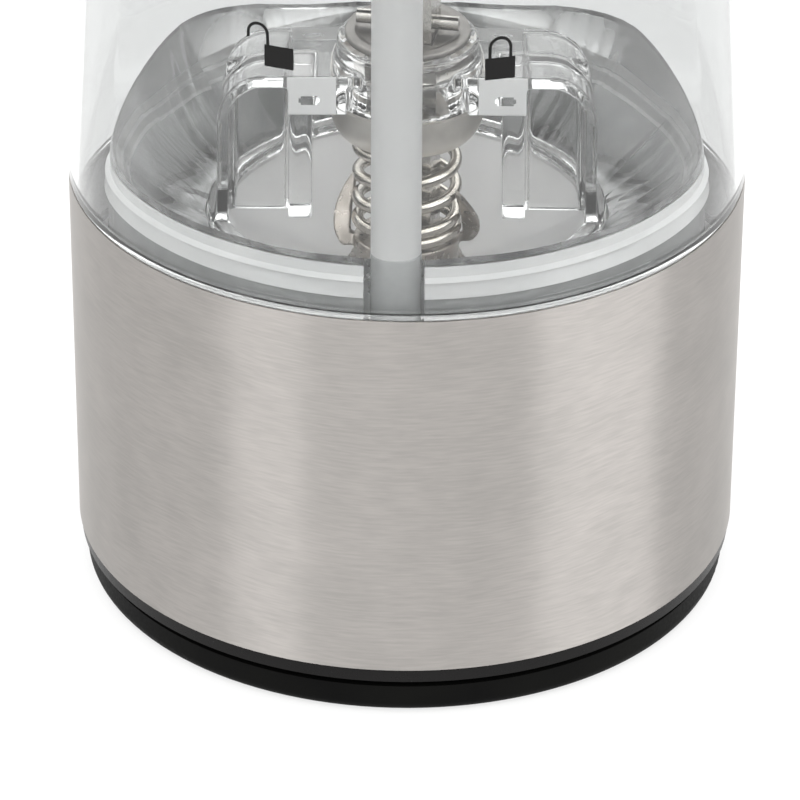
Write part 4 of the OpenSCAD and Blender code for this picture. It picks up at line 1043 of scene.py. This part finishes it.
@dataclass
class Grinder:
    """The pressed pieces on the shaft: washer, spring cup and feed wings."""

    half_side: float = 2.56
    turn_deg: float = -10.0
    washer_r: float = 5.5
    washer_z: float = 52.6
    washer_top_z: float = 53.2
    roll_w: float = 0.9
    roll_slope: float = 0.3
    roll_h: float = 0.18
    roll_round: float = 0.22
    cup_floor_r: float = 4.4
    cup_rim_r: float = 6.7
    cup_z: float = 43.75
    cup_top_z: float = 47.5
    cup_t: float = 0.4
    cup_bowl_share: float = 0.72
    cup_steps: int = 10
    sheet_t: float = 0.8
    disc_z: float = 32.0
    wing_z: float = 33.9
    wing_h: float = 5.8
    wing_in_r: float = 4.85
    wing_r: float = 6.4
    wing_turn_deg: float = 6.0
    wing_lean_deg: float = -37.0
    wing_steps: int = 28
    wing_voxel_mm: float = 0.14
    wing_rounds: int = 3
    leaf_start: float = 0.1
    leaf_run: float = 0.88
    leaf_power: float = 0.75
    leaf_fullness: float = 0.8
    root_lap: float = 0.3
    disc_r: float = 4.9
    collar_r: float = 4.55
    collar_top_z: float = 34.8
    throat_r: float = 8.15
    throat_z: float = 33.2
    funnel_slope: float = 0.527
    lip_lap: float = 0.6
    lip_rise: float = 0.03
    lip_r: float = 5.3
    lip_z: float = 32.0
    lip_t: float = 0.5
    segments: int = 144

    def washer(self, angle: float) -> Profile:
        """Section of the washer, with a rolled edge and a square hole."""
        hole = square_edge(self.half_side, self.turn_deg, angle)
        low, top = self.washer_z, self.washer_top_z
        roll_r = self.washer_r - self.roll_w
        flat_z = top - self.roll_h
        return soften([
            (hole, low), (self.washer_r, low), (self.washer_r, top), (roll_r, top),
            (roll_r - self.roll_slope, flat_z), (hole, flat_z),
        ], self.roll_round)

    def cup(self, angle: float) -> Profile:
        """Section of the cup, a round bowl with a square hole in its floor."""
        hole = square_edge(self.half_side, self.turn_deg, angle)
        flare_z = self.cup_z + self.cup_bowl_share * (self.cup_top_z - self.cup_z)
        floor_r = self.cup_floor_r
        turns = [math.pi / 2 * k / self.cup_steps for k in range(self.cup_steps + 1)]
        bowl: list[Profile] = []
        for inset in (0.0, self.cup_t):
            wide = self.cup_rim_r - floor_r - inset
            deep = flare_z - self.cup_z - inset
            bowl.append([(floor_r + wide * math.sin(a), flare_z - deep * math.cos(a)) for a in turns])
        rim_in = self.cup_rim_r - self.cup_t
        rim = [(self.cup_rim_r, self.cup_top_z), (rim_in, self.cup_top_z)]
        return [(hole, self.cup_z), *bowl[0], *rim, *reversed(bowl[1]), (hole, self.cup_z + self.cup_t)]

    def wing(self, side: int) -> Form:
        """One ear of the wings, a leaf of sheet that winds round the spring as it rises.

        Args:
            side: 0 or 1, for the two opposite ears.

        Returns:
            Points and faces.
        """
        sections = []
        for i in range(self.wing_steps + 1):
            share = i / self.wing_steps
            z = self.wing_z + self.wing_h * share
            way = self.leaf_start + self.leaf_run * share ** self.leaf_power
            swell = math.sin(math.pi * way) ** self.leaf_fullness
            reach = self.wing_in_r + (self.wing_r - self.wing_in_r) * swell
            root = self.collar_r - self.root_lap if z < self.collar_top_z else self.wing_in_r
            bearing = math.radians(self.wing_turn_deg + 180 * side + self.wing_lean_deg * share)
            half_turn = self.sheet_t / 2 / self.wing_r
            edge = [(reach, -half_turn), (reach, half_turn), (root, half_turn), (root, -half_turn)]
            sections.append([(r * math.cos(bearing + a), r * math.sin(bearing + a), z) for r, a in edge])
        return loft(sections)

    def disc(self, angle: float) -> Profile:
        """Section of the disc and collar that carry the wings."""
        hole = square_edge(self.half_side, self.turn_deg, angle)
        step_z = self.disc_z + self.sheet_t
        return [
            (hole, self.disc_z), (self.disc_r, self.disc_z), (self.disc_r, step_z),
            (self.collar_r, step_z), (self.collar_r, self.collar_top_z), (hole, self.collar_top_z),
        ]

    def lip(self, angle: float) -> Profile:
        """Section of the lip that carries the funnel's slope on to the wings."""
        lap_r = self.throat_r + self.lip_lap
        lap_z = self.throat_z + self.lip_lap * self.funnel_slope
        return [
            (self.lip_r, self.lip_z - self.lip_t), (self.throat_r, self.throat_z - self.lip_t),
            (self.throat_r, self.throat_z), (lap_r, lap_z), (lap_r, lap_z + self.lip_rise),
            (self.lip_r, self.lip_z),
        ]

    def build(self) -> None:
        """Make the pressed pieces and the lip round them."""
        lip = make_piece("throat_lip", *revolve(self.lip, self.segments), Finishes.PALE_ABS)
        seat(lip, Body.BASE, "pale_abs")
        washer = make_piece("washer_disc", *revolve(self.washer, self.segments), Finishes.DULL_STEEL)
        seat(washer, Body.ROTOR, "bright_steel", "shaft_washer")
        cup = make_piece("spring_cup_shell", *revolve(self.cup, self.segments), Finishes.SATIN_STEEL)
        seat(cup, Body.ROTOR, "pressed_steel", "spring_cup")
        forms = [revolve(self.disc, self.segments), self.wing(0), self.wing(1)]
        wings = melt("feed_wing_blades", forms, self.wing_voxel_mm, self.wing_rounds, Finishes.PRESSED_STEEL)
        seat(wings, Body.BURR, "pressed_steel", "feed_wings")


@dataclass
class Springs:
    """The three kinds of spring in the mill."""

    cell_circle_r: float = 19.975
    cells: int = 6
    grinder_start_deg: float = 244.0

    def build(self) -> None:
        """Make the grinder's spring, the cells' springs and the button's spring."""
        grinder = Coil("grinder_spring_wire", outside_d=9.6, wire_d=1.05, low_z=34.9, high_z=43.7, turns=4.0,
                       closed_turns=1.17, closed_pitch=1.0)
        piece = grinder.build([(0, 0)], Finishes.SPRING_WIRE, self.grinder_start_deg)
        seat(piece, Body.ROTOR, "spring_steel", "grinder_spring")
        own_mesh(piece)
        turns = [math.tau * i / self.cells for i in range(self.cells)]
        spots = [(self.cell_circle_r * math.cos(a), self.cell_circle_r * math.sin(a)) for a in turns]
        cell = Coil("cell_spring_wires", outside_d=5.4, wire_d=0.5, low_z=135.4, high_z=138.6, turns=3.0,
                    closed_turns=0.6, closed_pitch=1.2, steps_per_turn=24, sides=10)
        seat(cell.build(spots, Finishes.SPRING_WIRE), Body.HEAD, "spring_steel", "battery_springs")
        button = Coil("button_spring_wire", outside_d=17.0, wire_d=0.7, low_z=179.4, high_z=192.85, turns=6.5,
                      closed_turns=0.8, closed_pitch=1.2, sides=12)
        piece = button.build([(0, 0)], Finishes.SPRING_WIRE)
        seat(piece, Body.HEAD, "spring_steel", "button_spring")
        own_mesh(piece)


@dataclass
class Studio:
    """Camera, floor and lights."""

    camera_mm: Point = (0.0, -381.15, 234.3)
    aim_mm: Point = (0.0, 0.0, 14.8)
    lens_mm: float = 216.7
    sensor_mm: float = 36.0
    near_m: float = 0.01
    far_m: float = 20.0
    shift_x: float = -0.0069
    roll_deg: float = 0.35
    floor_side_mm: float = 6000.0
    horizon_glow: float = 0.9
    zenith_glow: float = 4.7
    glow_low: float = 0.1
    glow_high: float = 0.9
    light_aim_mm: Point = (0.0, 0.0, 40.0)

    def build(self) -> None:
        """Set the camera, the floor and the light."""
        self.set_camera()
        self.lay_floor()
        self.light()

    def set_camera(self) -> None:
        """Stand the camera where the photograph was taken from."""
        data = bpy.data.cameras.new("camera")
        data.lens = self.lens_mm
        data.sensor_width = self.sensor_mm
        data.shift_x = self.shift_x
        data.clip_start = self.near_m
        data.clip_end = self.far_m
        camera = link_object("camera", data)
        roll = Matrix.Rotation(math.radians(self.roll_deg), 4, "Z")
        camera.matrix_world = facing(self.camera_mm, self.aim_mm) @ roll
        bpy.context.scene.camera = camera

    def lay_floor(self) -> None:
        """Lay a plain pale board under the mill."""
        half = self.floor_side_mm / 2
        corners = [(-half, -half, 0.0), (half, -half, 0.0), (half, half, 0.0), (-half, half, 0.0)]
        floor = make_piece("floor", corners, [(0, 1, 2, 3)], Finishes.FLOOR)

    def light(self) -> None:
        """Light from a pale room with a bright ceiling, with soft boxes above and at the sides."""
        scene = bpy.context.scene
        scene.view_settings.view_transform = "Standard"
        world = bpy.data.worlds.new("pale_room")
        scene.world = world
        world.use_nodes = True
        tree = world.node_tree
        tree.nodes.clear()
        place = add_node(tree, "ShaderNodeTexCoord")
        side = add_node(tree, "ShaderNodeSeparateXYZ", {"Vector": place.outputs["Generated"]})
        glow = add_node(tree, "ShaderNodeMapRange", {"Value": side.outputs["Z"]}, {
            "From Min": self.glow_low, "From Max": self.glow_high,
            "To Min": self.horizon_glow, "To Max": self.zenith_glow,
        })
        room = add_node(tree, "ShaderNodeBackground", {"Strength": glow.outputs["Result"]},
                        {"Color": linear("#fbfbfa")})
        add_node(tree, "ShaderNodeOutputWorld", {"Surface": room.outputs["Background"]})
        self.soft_box("top_box", (-180.0, -260.0, 900.0), (420.0, 420.0), 1.0)
        self.soft_box("left_box", (-495.0, -495.0, 220.0), (320.0, 500.0), 0.95)
        self.soft_box("right_box", (640.0, -285.0, 220.0), (600.0, 500.0), 2.5)

    def soft_box(self, name: str, place_mm: Point, size_mm: tuple[float, float], power: float) -> None:
        """Hang one soft box, facing the mill.

        Args:
            name: The light's name.
            place_mm: Where it hangs.
            size_mm: Its width and height.
            power: Watts.
        """
        data = bpy.data.lights.new(name, "AREA")
        data.shape = "RECTANGLE"
        data.size = size_mm[0] * MM
        data.size_y = size_mm[1] * MM
        data.energy = power
        link_object(name, data).matrix_world = facing(place_mm, self.light_aim_mm)


def dress_solids(nodes: dict[str, Piece]) -> None:
    """Give every solid its finish.

    Args:
        nodes: The solids by name.
    """
    for name, solid in nodes.items():
        solid.data.materials.clear()
        solid.data.materials.append(NODE_FINISHES[name].make())


def main() -> None:
    """Load the frame, dress it and set the studio round it."""
    logging.basicConfig(level=logging.INFO, format="%(name)s: %(message)s")
    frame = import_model()
    Studio().build()
    dress_solids(frame["nodes"])
    Chamber().build()
    HopperRing().build()
    Bridge().build()
    Grinder().build()
    Springs().build()


if __name__ == "__main__":
    main()
